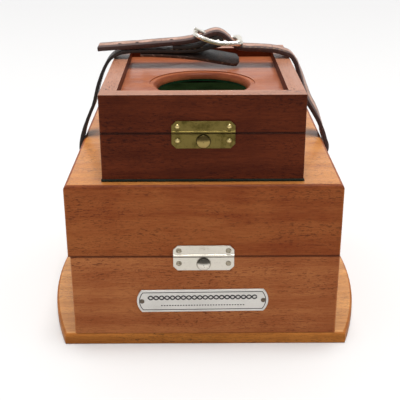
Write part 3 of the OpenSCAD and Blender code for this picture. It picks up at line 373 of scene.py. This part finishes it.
# Dark and light of the sides, dark and light of faces that look up (paler copies as a painted
# highlight), and pores.
CASE_WOOD = [(0.305, 0.084, 0.026), (0.46, 0.165, 0.056), (0.42, 0.125, 0.026),
             (0.58, 0.22, 0.055), (0.11, 0.028, 0.013)]
LID_WOOD = [(0.235, 0.052, 0.014), (0.355, 0.110, 0.031), (0.43, 0.142, 0.027),
            (0.60, 0.248, 0.057), (0.075, 0.018, 0.009)]
RED_WOOD = [(0.070, 0.0125, 0.0045), (0.137, 0.028, 0.0085), (0.325, 0.13, 0.07),
            (0.43, 0.19, 0.11), (0.02, 0.005, 0.004)]

finishes = {
    "board": wood("board_wood", (0.25, 0.072, 0.012), (0.48, 0.175, 0.036), (0.37, 0.145, 0.033),
                  (0.63, 0.30, 0.084), (0.09, 0.036, 0.013), seed=0.31, rim=0.15),
    "case": wood("case_wood", *CASE_WOOD, CASE_CROSS, 0.11, seam=CASE_SEAM),
    "lid": wood("lid_wood", *LID_WOOD, CASE_CROSS, 0.11, seam=CASE_SEAM),
    "lid_top": wood("lid_top_wood", *LID_WOOD, seed=0.11),
    "carrier": wood("carrier_wood", *RED_WOOD, CARRIER_CROSS, 0.57, 0.25, seam=CARRIER_SEAM),
    "panel": wood("panel_wood", (0.19, 0.045, 0.018), (0.29, 0.085, 0.034), (0.30, 0.075, 0.026),
                  (0.44, 0.135, 0.048), (0.09, 0.02, 0.012), seed=0.83, coat=0.6, pores=0.6),
    "cradle": wood("cradle_wood", (0.15, 0.05, 0.02), (0.28, 0.10, 0.04), (0.2, 0.07, 0.03),
                   (0.32, 0.12, 0.05), (0.06, 0.02, 0.01), seed=1.4, coat=0.1),
    "nickel": metal("nickel_plate", (0.66, 0.62, 0.54), (0.46, 0.41, 0.33), (0.16, 0.13, 0.09),
                    amount=0.3, rough=0.26, button=LOCK_BUTTON),
    "nickel_button": metal("nickel_button", (0.72, 0.68, 0.60), (0.5, 0.45, 0.36),
                           (0.06, 0.05, 0.035), amount=0.3, rough=0.2, dome=0.9),
    "buckle": metal("buckle_nickel", (0.86, 0.83, 0.75), (0.62, 0.57, 0.46), (0.2, 0.17, 0.12),
                    amount=0.3, rough=0.22, relief=0.000004),
    "brass": metal("old_brass", (0.165, 0.125, 0.036), (0.085, 0.065, 0.015), (0.03, 0.022, 0.008),
                   amount=0.75, rough=0.34, patch=130.0, button=CARRIER_BUTTON),
    "brass_button": metal("brass_button", (0.34, 0.25, 0.09), (0.16, 0.11, 0.035),
                          (0.045, 0.03, 0.01), amount=0.3, rough=0.2, dome=0.75),
    "gilt": turned_metal("gilt_brass", (0.83, 0.60, 0.26), (0.62, 0.42, 0.15)),
    "steel": turned_metal("bright_steel", (0.56, 0.57, 0.60), (0.36, 0.36, 0.38)),
    "blued": turned_metal("blued_steel", (0.02, 0.035, 0.16), (0.01, 0.012, 0.06), 0.2),
    "screw": metal("dark_screw", (0.16, 0.13, 0.10), (0.05, 0.04, 0.03), (0.02, 0.015, 0.01),
                   amount=0.6, rough=0.35),
    "slotted": metal("slotted_screw", (0.42, 0.37, 0.28), (0.07, 0.055, 0.035),
                     (0.03, 0.022, 0.014), amount=0.8, rough=0.3, patch=900.0),
    "nail": metal("brass_nail", (0.72, 0.58, 0.26), (0.36, 0.28, 0.10), (0.12, 0.09, 0.03),
                  amount=0.3, rough=0.24),
    "plate": metal("plate_metal", (0.67, 0.655, 0.62), (0.51, 0.495, 0.46), (0.3, 0.28, 0.25),
                   amount=0.25, rough=0.42),
    "felt": felt("green_baize", (0.014, 0.10, 0.03), (0.045, 0.24, 0.08), (0.012, 0.022, 0.007)),
    "lining": felt("lining_baize", (0.006, 0.035, 0.012), (0.012, 0.08, 0.028)),
    # Near-black baize: dark green felt, deepened with painted shade from the box above it.
    "dark_felt_and_painted_shade": felt("dark_baize_painted_shade", (0.003, 0.006, 0.004), (0.006, 0.018, 0.009)),
    "black_leather": leather("black_leather", (0.020, 0.012, 0.010), (0.085, 0.052, 0.043),
                             (0.007, 0.005, 0.004), 0.3, 0.2),
    "tongue_leather": leather("tongue_leather", (0.035, 0.02, 0.015), (0.14, 0.085, 0.068),
                              (0.012, 0.007, 0.005), 0.3, 0.5),
    "tan_leather": leather("tan_leather", (0.34, 0.165, 0.105), (0.52, 0.30, 0.22),
                           (0.14, 0.055, 0.03), 0.36),
    "dark_edge": cut_edge("dark_edge", (0.014, 0.008, 0.006), (0.04, 0.02, 0.014)),
    "brown_edge": cut_edge("brown_edge", (0.038, 0.009, 0.005), (0.10, 0.026, 0.014)),
    "worn_edge": cut_edge("worn_edge", (0.05, 0.02, 0.012), (0.34, 0.20, 0.14)),
    "thread": felt("linen_thread", (0.25, 0.15, 0.08), (0.52, 0.36, 0.22)),
    "dial": enamel("silvered_dial", (0.86, 0.85, 0.80), (0.74, 0.73, 0.68)),
    "print": enamel("black_paint", (0.02, 0.02, 0.022), (0.035, 0.032, 0.03)),
    "glass": glass("crystal_glass"),
}

WEARS = {
    "board": ["base_board"],
    "case": ["case_walls"],
    "lid": ["lid_walls"],
    "lid_top": ["lid_top_board"],
    "carrier": ["carrier_walls", "cover_rails"],
    "panel": ["window_panel"],
    "cradle": ["watch_cradle", "carrier_floor"],
    "nickel": ["lock_plate", "strike_plate", "case_hinge_leaves", "lid_hinge_leaves",
               "case_hinge_pins", "strap_loops"],
    "nickel_button": ["lock_button"],
    "brass_button": ["carrier_button"],
    "buckle": ["buckle_frame", "buckle_prong"],
    "brass": ["carrier_lock_plate", "cover_strike_plate",
              "carrier_hinge_leaves", "carrier_hinge_pins", "cover_hinge_leaves"],
    "nail": ["carrier_nails", "cover_nails"],
    "gilt": ["gimbal_brackets", "gimbal_ring", "gimbal_stay", "bowl", "bezel",
             "movement_plates", "barrel", "centre_wheel", "third_wheel", "fourth_wheel",
             "balance_cock", "balance_wheel"],
    "steel": ["gimbal_pivots", "winding_arbor", "escape_wheel", "latch_spring",
              "carrier_latch_spring"],
    "blued": ["balance_spring", "hour_hand", "minute_hand", "seconds_hand"],
    "screw": ["nameplate_pins"],
    "slotted": ["case_screws", "lid_screws"],
    "plate": ["nameplate"],
    "felt": ["cradle_felt"],
    "lining": ["case_floor", "cover_lining"],
    "dark_felt_and_painted_shade": ["carrier_baize"],
    "black_leather": ["strap_left", "chafe_tongue"],
    "tan_leather": ["strap_right"],
    "dial": ["dial"],
    "glass": ["crystal"],
}


def dress_frame():
    for finish, names in WEARS.items():
        for name in names:
            for slot in nodes[name].material_slots:
                slot.material = finishes[finish]


# ---- mesh helpers ----

def new_piece(name, mesh, body, slot, *stands_for):
    """A piece made from a bmesh, smooth shaded, riding on a CAD body."""
    data = bpy.data.meshes.new(name)
    bmesh.ops.recalc_face_normals(mesh, faces=mesh.faces)
    for face in mesh.faces:
        face.smooth = True
    mesh.to_mesh(data)
    mesh.free()
    piece = bpy.data.objects.new(name, data)
    scene.collection.objects.link(piece)
    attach(piece, body)
    if stands_for:
        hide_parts(*stands_for)
    return piece


def give(piece, *keys):
    """Puts the finishes on a piece, in the order of its material indices."""
    for key in keys:
        piece.data.materials.append(finishes[key])
    return piece


def crease(piece, degrees):
    """Sharp edges where the surface turns by more than this."""
    piece.data.set_sharp_from_angle(angle=math.radians(degrees))
    return piece


def circle(count):
    """Angles of points evenly round a circle."""
    return [2 * math.pi * k / count for k in range(count)]


def wall(mesh, low, high):
    """Faces between two rings of vertices, in order."""
    turned = zip(low, low[1:] + low[:1], high[1:] + high[:1], high)
    return [mesh.faces.new(corners) for corners in turned]


def curve_at(p, k, u):
    """Point on a smooth curve through the points p, u from 0 to 1 past point k."""
    a, b, c, d = (p[min(max(k + j, 0), len(p) - 1)] for j in (-1, 0, 1, 2))
    return 0.5 * (2 * b + (c - a) * u + (2 * a - 5 * b + 4 * c - d) * u * u
                  + (3 * b - a - 3 * c + d) * u * u * u)


def even_path(points, gap):
    """Points about one gap apart along the smooth curve through a list of points."""
    p = [Vector(q) for q in points]
    fine = [curve_at(p, k, j / 12) for k in range(len(p) - 1) for j in range(12)] + [p[-1]]
    path = [fine[0]]
    for q in fine[1:]:
        if (q - path[-1]).length >= gap:
            path.append(q)
    return path + [fine[-1]] if (fine[-1] - path[-1]).length > gap / 3 else path


def frames(path, lean=0.0, roll=0.0):
    """(point, direction of travel, width direction, outward direction) along a band's path.
    lean is how far the width direction slopes towards +x up the box's side, and roll how far
    it slopes upwards, reached after two thirds of the path."""
    out = []
    for i, p in enumerate(path):
        travel = (path[min(i + 1, len(path) - 1)] - path[max(i - 1, 0)]).normalized()
        rise = min(1.0, max(0.0, (p.z / MM - LEAN_FROM) / LEAN_RISE))
        rolled = roll * min(1.0, 1.6 * i / len(path))
        level = Vector((lean * math.sin(math.pi * rise), 1, rolled))
        width = (level - level.dot(travel) * travel).normalized()
        out.append((p, travel, width, travel.cross(width)))
    return out


def tube(mesh, path, radii, sides, closed=False):
    """Round rod along a path, with a radius for each point."""
    count = len(path)
    rings = []
    lift = Vector((0, 0, 1))
    for i, p in enumerate(path):
        ahead = path[(i + 1) % count] if closed else path[min(i + 1, count - 1)]
        behind = path[i - 1] if closed else path[max(i - 1, 0)]
        travel = (ahead - behind).normalized()
        side = travel.cross(lift).normalized()
        up = side.cross(travel)
        rings.append([mesh.verts.new(p + radii[i] * (math.cos(a) * side + math.sin(a) * up))
                      for a in circle(sides)])
    for i in range(count if closed else count - 1):
        wall(mesh, rings[i], rings[(i + 1) % count])
    if not closed:
        mesh.faces.new(rings[0][::-1])
        mesh.faces.new(rings[-1])


# ---- strap: the CAD's routes, in millimetres, with some widths and thicknesses of its own ----

STRAP_W = 17
STRAP_T = 2.2
STRAP_Y = 19.5
BILLET_T = 2.8
BILLET_MARGINS = (1.2, 7.5)
BILLET_LEAN = 0.22
LEAN_FROM = 110
LEAN_RISE = 52
TONGUE_W = 17.6
TONGUE_T = 1.9
TONGUE_TIP = 4.5
TONGUE_MARGINS = (0.7, 0.7)
TONGUE_ROLL = 0.26
BAR_R = 1.5
LOOP_GAP = 0.35
CASE_SIDE_X = 82.5
LID_OVERHANG = 1.4
LOOP_BAR_X = CASE_SIDE_X + LOOP_GAP + STRAP_T + LOOP_GAP + BAR_R
LEFT_BAR_X = LOOP_BAR_X + LID_OVERHANG
LOOP_BAR_Z = 67
LOOP_TURN_R = BAR_R + LOOP_GAP + STRAP_T / 2
BUCKLE_BAR = (9.7, STRAP_Y, 172)
BUCKLE_LEFT = (-5.4, STRAP_Y, 176.4)
BUCKLE_RIGHT = (24.6, STRAP_Y, 171)
BUCKLE_RAIL_R = 1.6
BUCKLE_SAG = 2.1
BUCKLE_HALF = STRAP_W / 2 + BUCKLE_RAIL_R
WRAP_R = BAR_R + 0.25 + STRAP_T / 2
STITCH_PITCH = 3.4
STITCH_LIFT = 0.02
STITCH_INSET = 1.3
HOLE_R = 1.3
HOLE_LIFT = 0.12


def turn(centre, radius, start, stop, step):
    """Points of an arc about a bar that lies along y."""
    return [(centre[0] + radius * math.cos(math.radians(a)), centre[1],
             centre[2] + radius * math.sin(math.radians(a))) for a in range(start, stop, step)]


LEFT_ROUTE = [
    (-LEFT_BAR_X - LOOP_TURN_R, 7.6, 84), (-LEFT_BAR_X - LOOP_TURN_R, 6.9, 78),
    (-LEFT_BAR_X - LOOP_TURN_R, 6.3, 71),
    *turn((-LEFT_BAR_X, 6, LOOP_BAR_Z), LOOP_TURN_R, 180, 361, 30),
    (-85.5, 6.3, 74), (-85.6, 6.6, 86), (-85.6, 7.6, 96), (-85.5, 8.8, 103.5),
    (-83.4, 10.4, 112.5), (-80.2, 11.8, 120.6), (-76.6, 12.9, 128.6), (-74.3, 14.0, 136.4),
    (-72.4, 15.2, 143.2),
    (-69.9, 16.4, 150), (-66.9, 17.6, 156), (-63.2, 18.6, 160.9), (-57.5, 19.2, 164.2),
    (-49, STRAP_Y, 165.4), (-41, STRAP_Y, 165.6), (-29.6, STRAP_Y, 165.6),
    (-16, STRAP_Y, 165.4), (-5, STRAP_Y, 165.9), (4, STRAP_Y, 167.8),
    *turn(BUCKLE_BAR, WRAP_R, 270, 451, 30),
    (4.4, STRAP_Y, 173.2), (-1, STRAP_Y, 170.3), (-7, STRAP_Y, 168.4), (-21, STRAP_Y, 167.9)]

RIGHT_ROUTE = [
    (LOOP_BAR_X + LOOP_TURN_R, 7.2, 84), (LOOP_BAR_X + LOOP_TURN_R, 6.7, 78),
    (LOOP_BAR_X + LOOP_TURN_R, 6.2, 71),
    *turn((LOOP_BAR_X, 6, LOOP_BAR_Z), LOOP_TURN_R, 0, -181, -30),
    (84.1, 6.1, 74), (84.2, 6.2, 86), (84.4, 6.5, 94), (85.6, 7.0, 101), (84.0, 7.8, 107),
    (82.0, 8.8, 113.6),
    (79.1, 10.2, 120.8), (75.8, 11.4, 127), (72.4, 12.6, 132.6), (69.6, 14.0, 140),
    (67.4, 15.2, 146.6), (65.2, 16.6, 153), (63.0, 17.8, 157.9), (59.2, 18.8, 162.2),
    (53.0, 19.3, 164.4), (47.3, STRAP_Y, 165.6), (37.2, STRAP_Y, 166.4), (30, STRAP_Y, 166.6),
    (24.2, STRAP_Y, 167.4), (20.2, STRAP_Y, 169.9), (17.2, STRAP_Y, 172.9),
    (14.3, STRAP_Y, 175.4), (11.4, STRAP_Y, 177), (8.4, STRAP_Y, 177.5), (5.2, STRAP_Y, 176.9),
    (1.2, STRAP_Y, 175.3), (-3.6, STRAP_Y, 173.5), (-9, STRAP_Y, 172.2), (-16, STRAP_Y, 171.2),
    (-29.4, STRAP_Y, 170.1), (-49.1, STRAP_Y, 168.6), (-72, STRAP_Y, 167.1)]

TONGUE_ROUTE = [
    (-43, STRAP_Y, 163), (-30, STRAP_Y, 163.2), (-21, STRAP_Y, 163.1), (-10, STRAP_Y, 162.6),
    (0, STRAP_Y, 161.6), (9, STRAP_Y, 160.1), (17, STRAP_Y, 158.7), (24.5, STRAP_Y, 157.6)]


def band_section(half, thick, margins):
    """Outline of a strap with soft edges and a line pressed beside each dark margin.
    Each entry is (across, outward, True on the cut edge and its burnished margin)."""
    soft = 0.22 * thick
    outline = []
    for side, margin in zip((1, -1), margins):
        inner = half - margin
        part = [(inner - 0.5 * MM, thick, False), (inner, thick - 0.14 * MM, True),
                (inner + 0.25 * margin, thick, True), (half - soft, thick - 0.03 * MM, True),
                (half - 0.3 * soft, thick - 0.3 * soft, True), (half, thick - soft, True),
                (half, soft - thick, True), (half - 0.3 * soft, 0.3 * soft - thick, True),
                (half - soft, 0.04 * MM - thick, False)]
        part = [(side * u, v, e) for u, v, e in part]
        outline += part + [(0, -thick, False)] if side > 0 else part[::-1]
    return outline + [(0.5 * (margins[1] - margins[0]), thick + 0.1 * MM, False)]


def band(name, route, width, thick, outward, body, finish, edge, node, taper=0.0, tip=0.0,
         burnish=(1.6, 1.6), lean=0.0, roll=0.0):
    """Leather band, with all sizes in millimetres. outward is 1 or -1 for the grain side.
    taper narrows the end by that share and tip rounds it over that length.
    burnish is the dark margin's width at the back and front edge."""
    mesh = bmesh.new()
    path = frames(even_path([Vector(p) * MM for p in route], 1.0 * MM), lean, roll)
    half_w, half_t, tip = width * MM / 2, thick * MM / 2, tip * MM
    margins = [m * MM for m in burnish]
    rings = []
    for p, _, across, out in path:
        left = (path[-1][0] - p).length
        share = 1.0
        if tip and left < tip:
            share = max(0.3, (1 - (1 - left / tip) ** 3) ** 0.5)
        share *= 1 - taper * max(0.0, 1 - left / (30 * MM))
        ring = []
        for u, v, _ in band_section(half_w * share, half_t, [m * share for m in margins]):
            q = p + across * u + out * v * outward
            wave = noise.noise(q * 160) * 0.12 * MM + noise.noise(q * 700) * 0.05 * MM
            ring.append(mesh.verts.new(q + out * wave))
        rings.append(ring)
    dark = [e for _, _, e in band_section(half_w, half_t, margins)]
    for low, high in zip(rings, rings[1:]):
        for face, here, beyond in zip(wall(mesh, low, high), dark, dark[1:] + dark[:1]):
            face.material_index = 1 if here and beyond else 0
    for ring in (rings[0][::-1], rings[-1]):
        mesh.faces.new(ring).material_index = 1
    piece = new_piece(name, mesh, body, "tan_leather" if "tan" in finish else "dark_leather", node)
    give(piece, finish, edge)
    crease(piece, 38)
    return path


def stitches(name, path, start, stop, thick, outward, body):
    """Saddle stitches near the front edge, between two x positions in millimetres."""
    mesh = bmesh.new()
    offset = (STITCH_INSET - STRAP_W / 2) * MM
    height = (thick / 2 + STITCH_LIFT) * MM
    last = None
    for p, travel, across, out in path:
        if not start * MM <= p.x <= stop * MM:
            continue
        if last and (p - last).length < STITCH_PITCH * MM:
            continue
        last = p
        centre = p + across * offset + out * height * outward
        ends = [centre + travel * t * MM for t in (-0.95, -0.6, 0.0, 0.6, 0.95)]
        tube(mesh, ends, [r * MM for r in (0.1, 0.24, 0.3, 0.24, 0.1)], 8)
    give(new_piece(name, mesh, body, "tan_leather"), "thread")


def punched_holes(name, path, places, outward, body):
    """Dark punched holes along the free end, at x positions in millimetres."""
    mesh = bmesh.new()
    for x in places:
        p, travel, across, out = min(path, key=lambda f: abs(f[0].x - x * MM))
        face = p + out * outward * (BILLET_T / 2 + HOLE_LIFT) * MM
        ring = [mesh.verts.new(face + HOLE_R * MM * (math.cos(a) * travel + math.sin(a) * across))
                for a in circle(18)]
        sunk = out * outward * 0.1 * MM
        inner = [mesh.verts.new(v.co - sunk - (v.co - face) * 0.25) for v in ring]
        wall(mesh, ring, inner)
        mesh.faces.new(inner)
    give(new_piece(name, mesh, body, "tan_leather"), "dark_edge")


def buckle():
    """Bowed buckle frame: slim rails sweep down from the left bar to a bulbous right end."""
    mesh = bmesh.new()
    rail = []
    steps = 22
    length = BUCKLE_RIGHT[0] - BUCKLE_LEFT[0]
    fall = BUCKLE_RIGHT[2] - BUCKLE_LEFT[2]
    for i in range(steps + 1):
        t = i / steps
        z = BUCKLE_LEFT[2] + fall * t - BUCKLE_SAG * math.sin(math.pi * t) ** 1.2
        round_in = 2.4 * (max(0.0, 1 - t * 7) ** 2 + max(0.0, 1 - (1 - t) * 7) ** 2)
        rail.append((BUCKLE_LEFT[0] + length * t, BUCKLE_HALF + 0.35 - round_in, z))
    ends = range(-6, 7, 2)
    loop = [Vector((x, STRAP_Y - w, z)) for x, w, z in rail]
    loop += [Vector((BUCKLE_RIGHT[0] + 0.35, STRAP_Y + y, BUCKLE_RIGHT[2])) for y in ends]
    loop += [Vector((x, STRAP_Y + w, z)) for x, w, z in reversed(rail)]
    loop += [Vector((BUCKLE_LEFT[0] - 0.2, STRAP_Y - y, BUCKLE_LEFT[2])) for y in ends]
    radii = []
    for p in loop:
        end = math.exp(-(((p.x - BUCKLE_LEFT[0]) / length - 1.0) / 0.09) ** 2)
        corner = math.exp(-((abs(p.y - STRAP_Y) - 9.0) / 3.0) ** 2)
        radii.append((BUCKLE_RAIL_R + 0.2 * end + 0.7 * end * corner) * MM)
    tube(mesh, [p * MM for p in loop], radii, 18, True)
    bar = [Vector((BUCKLE_BAR[0], STRAP_Y + y, BUCKLE_BAR[2])) * MM
           for y in (-10.6, -9.5, -5, 0, 5, 9.5, 10.6)]
    swell = (0.2, 0.1, 0.0, 0.0, 0.0, 0.1, 0.2)
    tube(mesh, bar, [(BAR_R + r) * MM for r in swell], 16)
    give(new_piece("buckle", mesh, "strap_left", "nickel", "buckle_frame"), "buckle")


def add_strap():
    left = band("strap_fixed_half", LEFT_ROUTE, STRAP_W, STRAP_T, 1, "strap_left",
                "black_leather", "dark_edge", "strap_left")
    right = band("strap_billet_half", RIGHT_ROUTE, STRAP_W, BILLET_T, -1, "strap_right",
                 "tan_leather", "brown_edge", "strap_right", burnish=BILLET_MARGINS,
                 lean=BILLET_LEAN)
    band("strap_chafe_tongue", TONGUE_ROUTE, TONGUE_W, TONGUE_T, 1, "strap_left",
         "tongue_leather", "worn_edge", "chafe_tongue", taper=0.02, tip=TONGUE_TIP,
         burnish=TONGUE_MARGINS, roll=TONGUE_ROLL)
    stitches("stitches_right", right, 26, 56, BILLET_T, -1, "strap_right")
    stitches("stitches_left", left, -22, 2, STRAP_T, 1, "strap_left")
    punched_holes("billet_holes", right, (-22, -34, -46, -58), -1, "strap_right")
    buckle()


# ---- nameplate, dial print and pins ----

PLATE_HALF_W = 41
PLATE_HALF_H = 7.7
PLATE_END_R = 11.1
PLATE_T = 0.8
PLATE_TILT = 0.5
GROOVE = 0.1
CORD_Y = 2.35
CORD_SWING = 1.25
CORD_WAVE = 6.8
CORD_R = 0.42
DASH_Y = -3.1
DASH_R = 0.32


def plate_outline(inset):
    """Plate with arched ends, drawn in by inset, in millimetres."""
    r = PLATE_END_R - inset
    h = PLATE_HALF_H - inset
    centre = PLATE_HALF_W - PLATE_END_R
    reach = math.asin(min(1.0, h / r))
    arc = [reach * (2 * k / 14 - 1) for k in range(15)]
    right = [(centre + r * math.cos(a), r * math.sin(a)) for a in arc]
    left = [(-x, -y) for x, y in right]
    return right + left


def add_nameplate():
    """Plate with eased rim, an inlaid border line and a plain twisted-cord ornament."""
    lo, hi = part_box("nameplate")
    centre = (lo + hi) / 2
    place = Matrix.Translation((centre.x, hi.y, centre.z)) @ Matrix.Rotation(math.pi / 2, 4, "X")
    place = place @ Matrix.Rotation(math.radians(PLATE_TILT), 4, "Z")
    mesh = bmesh.new()
    levels = [(0.0, 0.0), (0.0, PLATE_T - 0.25), (0.25, PLATE_T), (1.45, PLATE_T),
              (1.55, PLATE_T - GROOVE), (1.85, PLATE_T - GROOVE), (1.95, PLATE_T)]
    loops = []
    for inset, z in levels:
        loops.append([mesh.verts.new(place @ (Vector((x, y, z)) * MM))
                      for x, y in plate_outline(inset)])
    for i, (low, high) in enumerate(zip(loops, loops[1:])):
        for face in wall(mesh, low, high):
            face.material_index = 1 if i in (3, 4, 5) else 0
    mesh.faces.new(loops[-1])
    mesh.faces.new(loops[0][::-1])
    plate = give(new_piece("plain_nameplate", mesh, "case", "plate_metal", "nameplate"),
                 "plate", "print")
    crease(plate, 25)
    ornament = bmesh.new()
    for phase in (0, math.pi):
        wave = []
        for tenths in range(-340, 341, 6):
            x = tenths / 10
            swing = CORD_SWING * math.sin(x * 2 * math.pi / CORD_WAVE + phase)
            wave.append(place @ (Vector((x, CORD_Y + swing, PLATE_T)) * MM))
        tube(ornament, wave, [CORD_R * MM] * len(wave), 8)
    for k in range(-15, 16):
        x = 1.7 * k
        dash = [Vector((x + side, DASH_Y, PLATE_T)) for side in (-0.45, 0.45)]
        tube(ornament, [place @ (p * MM) for p in dash], [DASH_R * MM] * 2, 8)
    give(new_piece("plate_ornament", ornament, "case", "plate_metal"), "print")


SECONDS_DROP = 17 * MM
SECONDS_SUNK = 0.25 * MM
FIGURE_H = 7.4 * MM
FIGURE_INSET = 9.2 * MM


def add_dial_print():
    """Minute track, hour figures and seconds track as raised black print."""
    lo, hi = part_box("dial")
    x0, y0 = (lo.x + hi.x) / 2, (lo.y + hi.y) / 2
    level = hi.z + 0.02 * MM
    radius = (hi.x - lo.x) / 2
    mesh = bmesh.new()

    def stroke(cx, cy, r0, r1, angle, wide, z):
        along = Vector((math.sin(angle), math.cos(angle), 0))
        side = Vector((along.y, -along.x, 0)) * wide / 2
        base = Vector((cx, cy, z))
        corners = [base + along * r0 - side, base + along * r0 + side,
                   base + along * r1 + side, base + along * r1 - side]
        low = [mesh.verts.new(c) for c in corners]
        high = [mesh.verts.new(c + Vector((0, 0, 0.03 * MM))) for c in corners]
        mesh.faces.new(high)
        mesh.faces.new(low[::-1])
        wall(mesh, low, high)

    outer, inner = radius - 1.8 * MM, radius - 3.2 * MM
    for k in range(60):
        a = k * math.pi / 30
        fifth = k % 5 == 0
        stroke(x0, y0, inner - (1.0 if fifth else 0.0) * MM, outer, a, (0.5 if fifth else 0.2) * MM,
               level)
        stroke(x0, y0 - SECONDS_DROP, (7.2 if fifth else 7.9) * MM, 8.8 * MM, a, 0.15 * MM,
               level - SECONDS_SUNK)
    for r in (outer, inner):
        for k in range(120):
            a = k * math.pi / 60
            half = r * math.pi / 118
            stroke(x0 + r * math.sin(a), y0 + r * math.cos(a), -half, half, a + math.pi / 2,
                   0.12 * MM, level)
    printed = give(new_piece("dial_tracks", mesh, "chronometer", "blued_steel"), "print")
    crease(printed, 30)
    for hour in range(1, 13):
        if hour == 6:  # the seconds dial is there
            continue
        curve = bpy.data.curves.new(f"figure_{hour}", "FONT")
        curve.body = str(hour)
        curve.size = FIGURE_H
        curve.align_x = "CENTER"
        curve.align_y = "CENTER"
        curve.extrude = 0.02 * MM
        figure = bpy.data.objects.new(f"figure_{hour}", curve)
        scene.collection.objects.link(figure)
        a = hour * math.pi / 6
        r = radius - FIGURE_INSET
        figure.location = (x0 + r * math.sin(a), y0 + r * math.cos(a), level)
        bpy.context.view_layer.update()
        evaluated = figure.evaluated_get(bpy.context.evaluated_depsgraph_get())
        data = bpy.data.meshes.new_from_object(evaluated)
        data.transform(figure.matrix_world)
        bpy.data.objects.remove(figure)
        piece = bpy.data.objects.new(f"dial_figure_{hour}", data)
        data.materials.clear()
        data.materials.append(finishes["print"])
        scene.collection.objects.link(piece)
        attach(piece, "chronometer")


def add_rail_pins():
    """Small dark pins driven into the ends of the cover's side rails."""
    lo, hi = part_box("cover_rails")
    mesh = bmesh.new()
    for x in (lo.x + 3.4 * MM, hi.x - 6.4 * MM):
        for y in (lo.y + 13 * MM, hi.y - 13 * MM):
            base = Vector((x, y, hi.z))
            rings = []
            for r, z in ((0.62, 0.0), (0.6, 0.06), (0.35, 0.13)):
                ring = [Vector((r * math.cos(a), r * math.sin(a), z)) for a in circle(14)]
                rings.append([mesh.verts.new(base + p * MM) for p in ring])
            for low, high in zip(rings, rings[1:]):
                wall(mesh, low, high)
            mesh.faces.new(rings[-1])
            mesh.faces.new(rings[0][::-1])
    give(new_piece("rail_pins", mesh, "cover", "dark_steel"), "screw")


BAIZE_PROUD = 0.7 * MM


def add_baize():
    """Baize under the carrying box, cut a little proud of the wood with a ragged rim."""
    lo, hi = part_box("carrier_baize")
    mesh = bmesh.new()
    left, right = lo.x - BAIZE_PROUD, hi.x + BAIZE_PROUD
    front, back = lo.y - BAIZE_PROUD, hi.y + BAIZE_PROUD
    corners = [Vector(c) for c in ((left, front), (right, front), (right, back), (left, back))]
    rim = []
    for a, b in zip(corners, corners[1:] + corners[:1]):
        rim += [a.lerp(b, k / 90) for k in range(90)]
    centre = (corners[0] + corners[2]) / 2
    rings = []
    for z, inward in ((lo.z, 0.5), (lo.z + 0.5 * MM, 0.0), (hi.z - 0.5 * MM, 0.15), (hi.z, 0.7)):
        ring = []
        for p in rim:
            frayed = noise.noise(Vector((p.x, p.y, z)) * 900) * 0.35 * MM - inward * MM
            q = p + (p - centre).normalized() * frayed
            ring.append(mesh.verts.new((q.x, q.y, z)))
        rings.append(ring)
    for low, high in zip(rings, rings[1:]):
        wall(mesh, low, high)
    mesh.faces.new(rings[-1])
    mesh.faces.new(rings[0][::-1])
    crease(give(new_piece("baize_sheet", mesh, "carrier", "felt", "carrier_baize"),
                "dark_felt_and_painted_shade"), 60)


FLOOR_R = 9


def add_floor():
    """Pale flat floor that the instrument stands on, a little darker far behind as a painted
    falloff of the light.
    """
    g = Graph("pale_floor")
    y = g.split(g.place)[1]
    mottle = g.noise(g.place, (3, 3, 3), 2.0)
    near = g.mix(mottle, (0.685, 0.686, 0.69), (0.70, 0.70, 0.70))
    # Painted falloff of the light: the floor is darker far behind.
    colour = g.mix(g.step(y, -0.5, 1.6), near, (0.565, 0.567, 0.573))
    material = g.finish(Base_Color=colour, Roughness=0.9, Specular_IOR_Level=0.1)
    mesh = bmesh.new()
    bmesh.ops.create_circle(mesh, cap_ends=True, radius=FLOOR_R, segments=96)
    data = bpy.data.meshes.new("floor")
    mesh.to_mesh(data)
    mesh.free()
    floor = bpy.data.objects.new("floor", data)
    data.materials.append(material)
    scene.collection.objects.link(floor)


add_camera()
add_light()
dress_frame()
add_strap()
add_nameplate()
add_dial_print()
add_rail_pins()
add_baize()
add_floor()
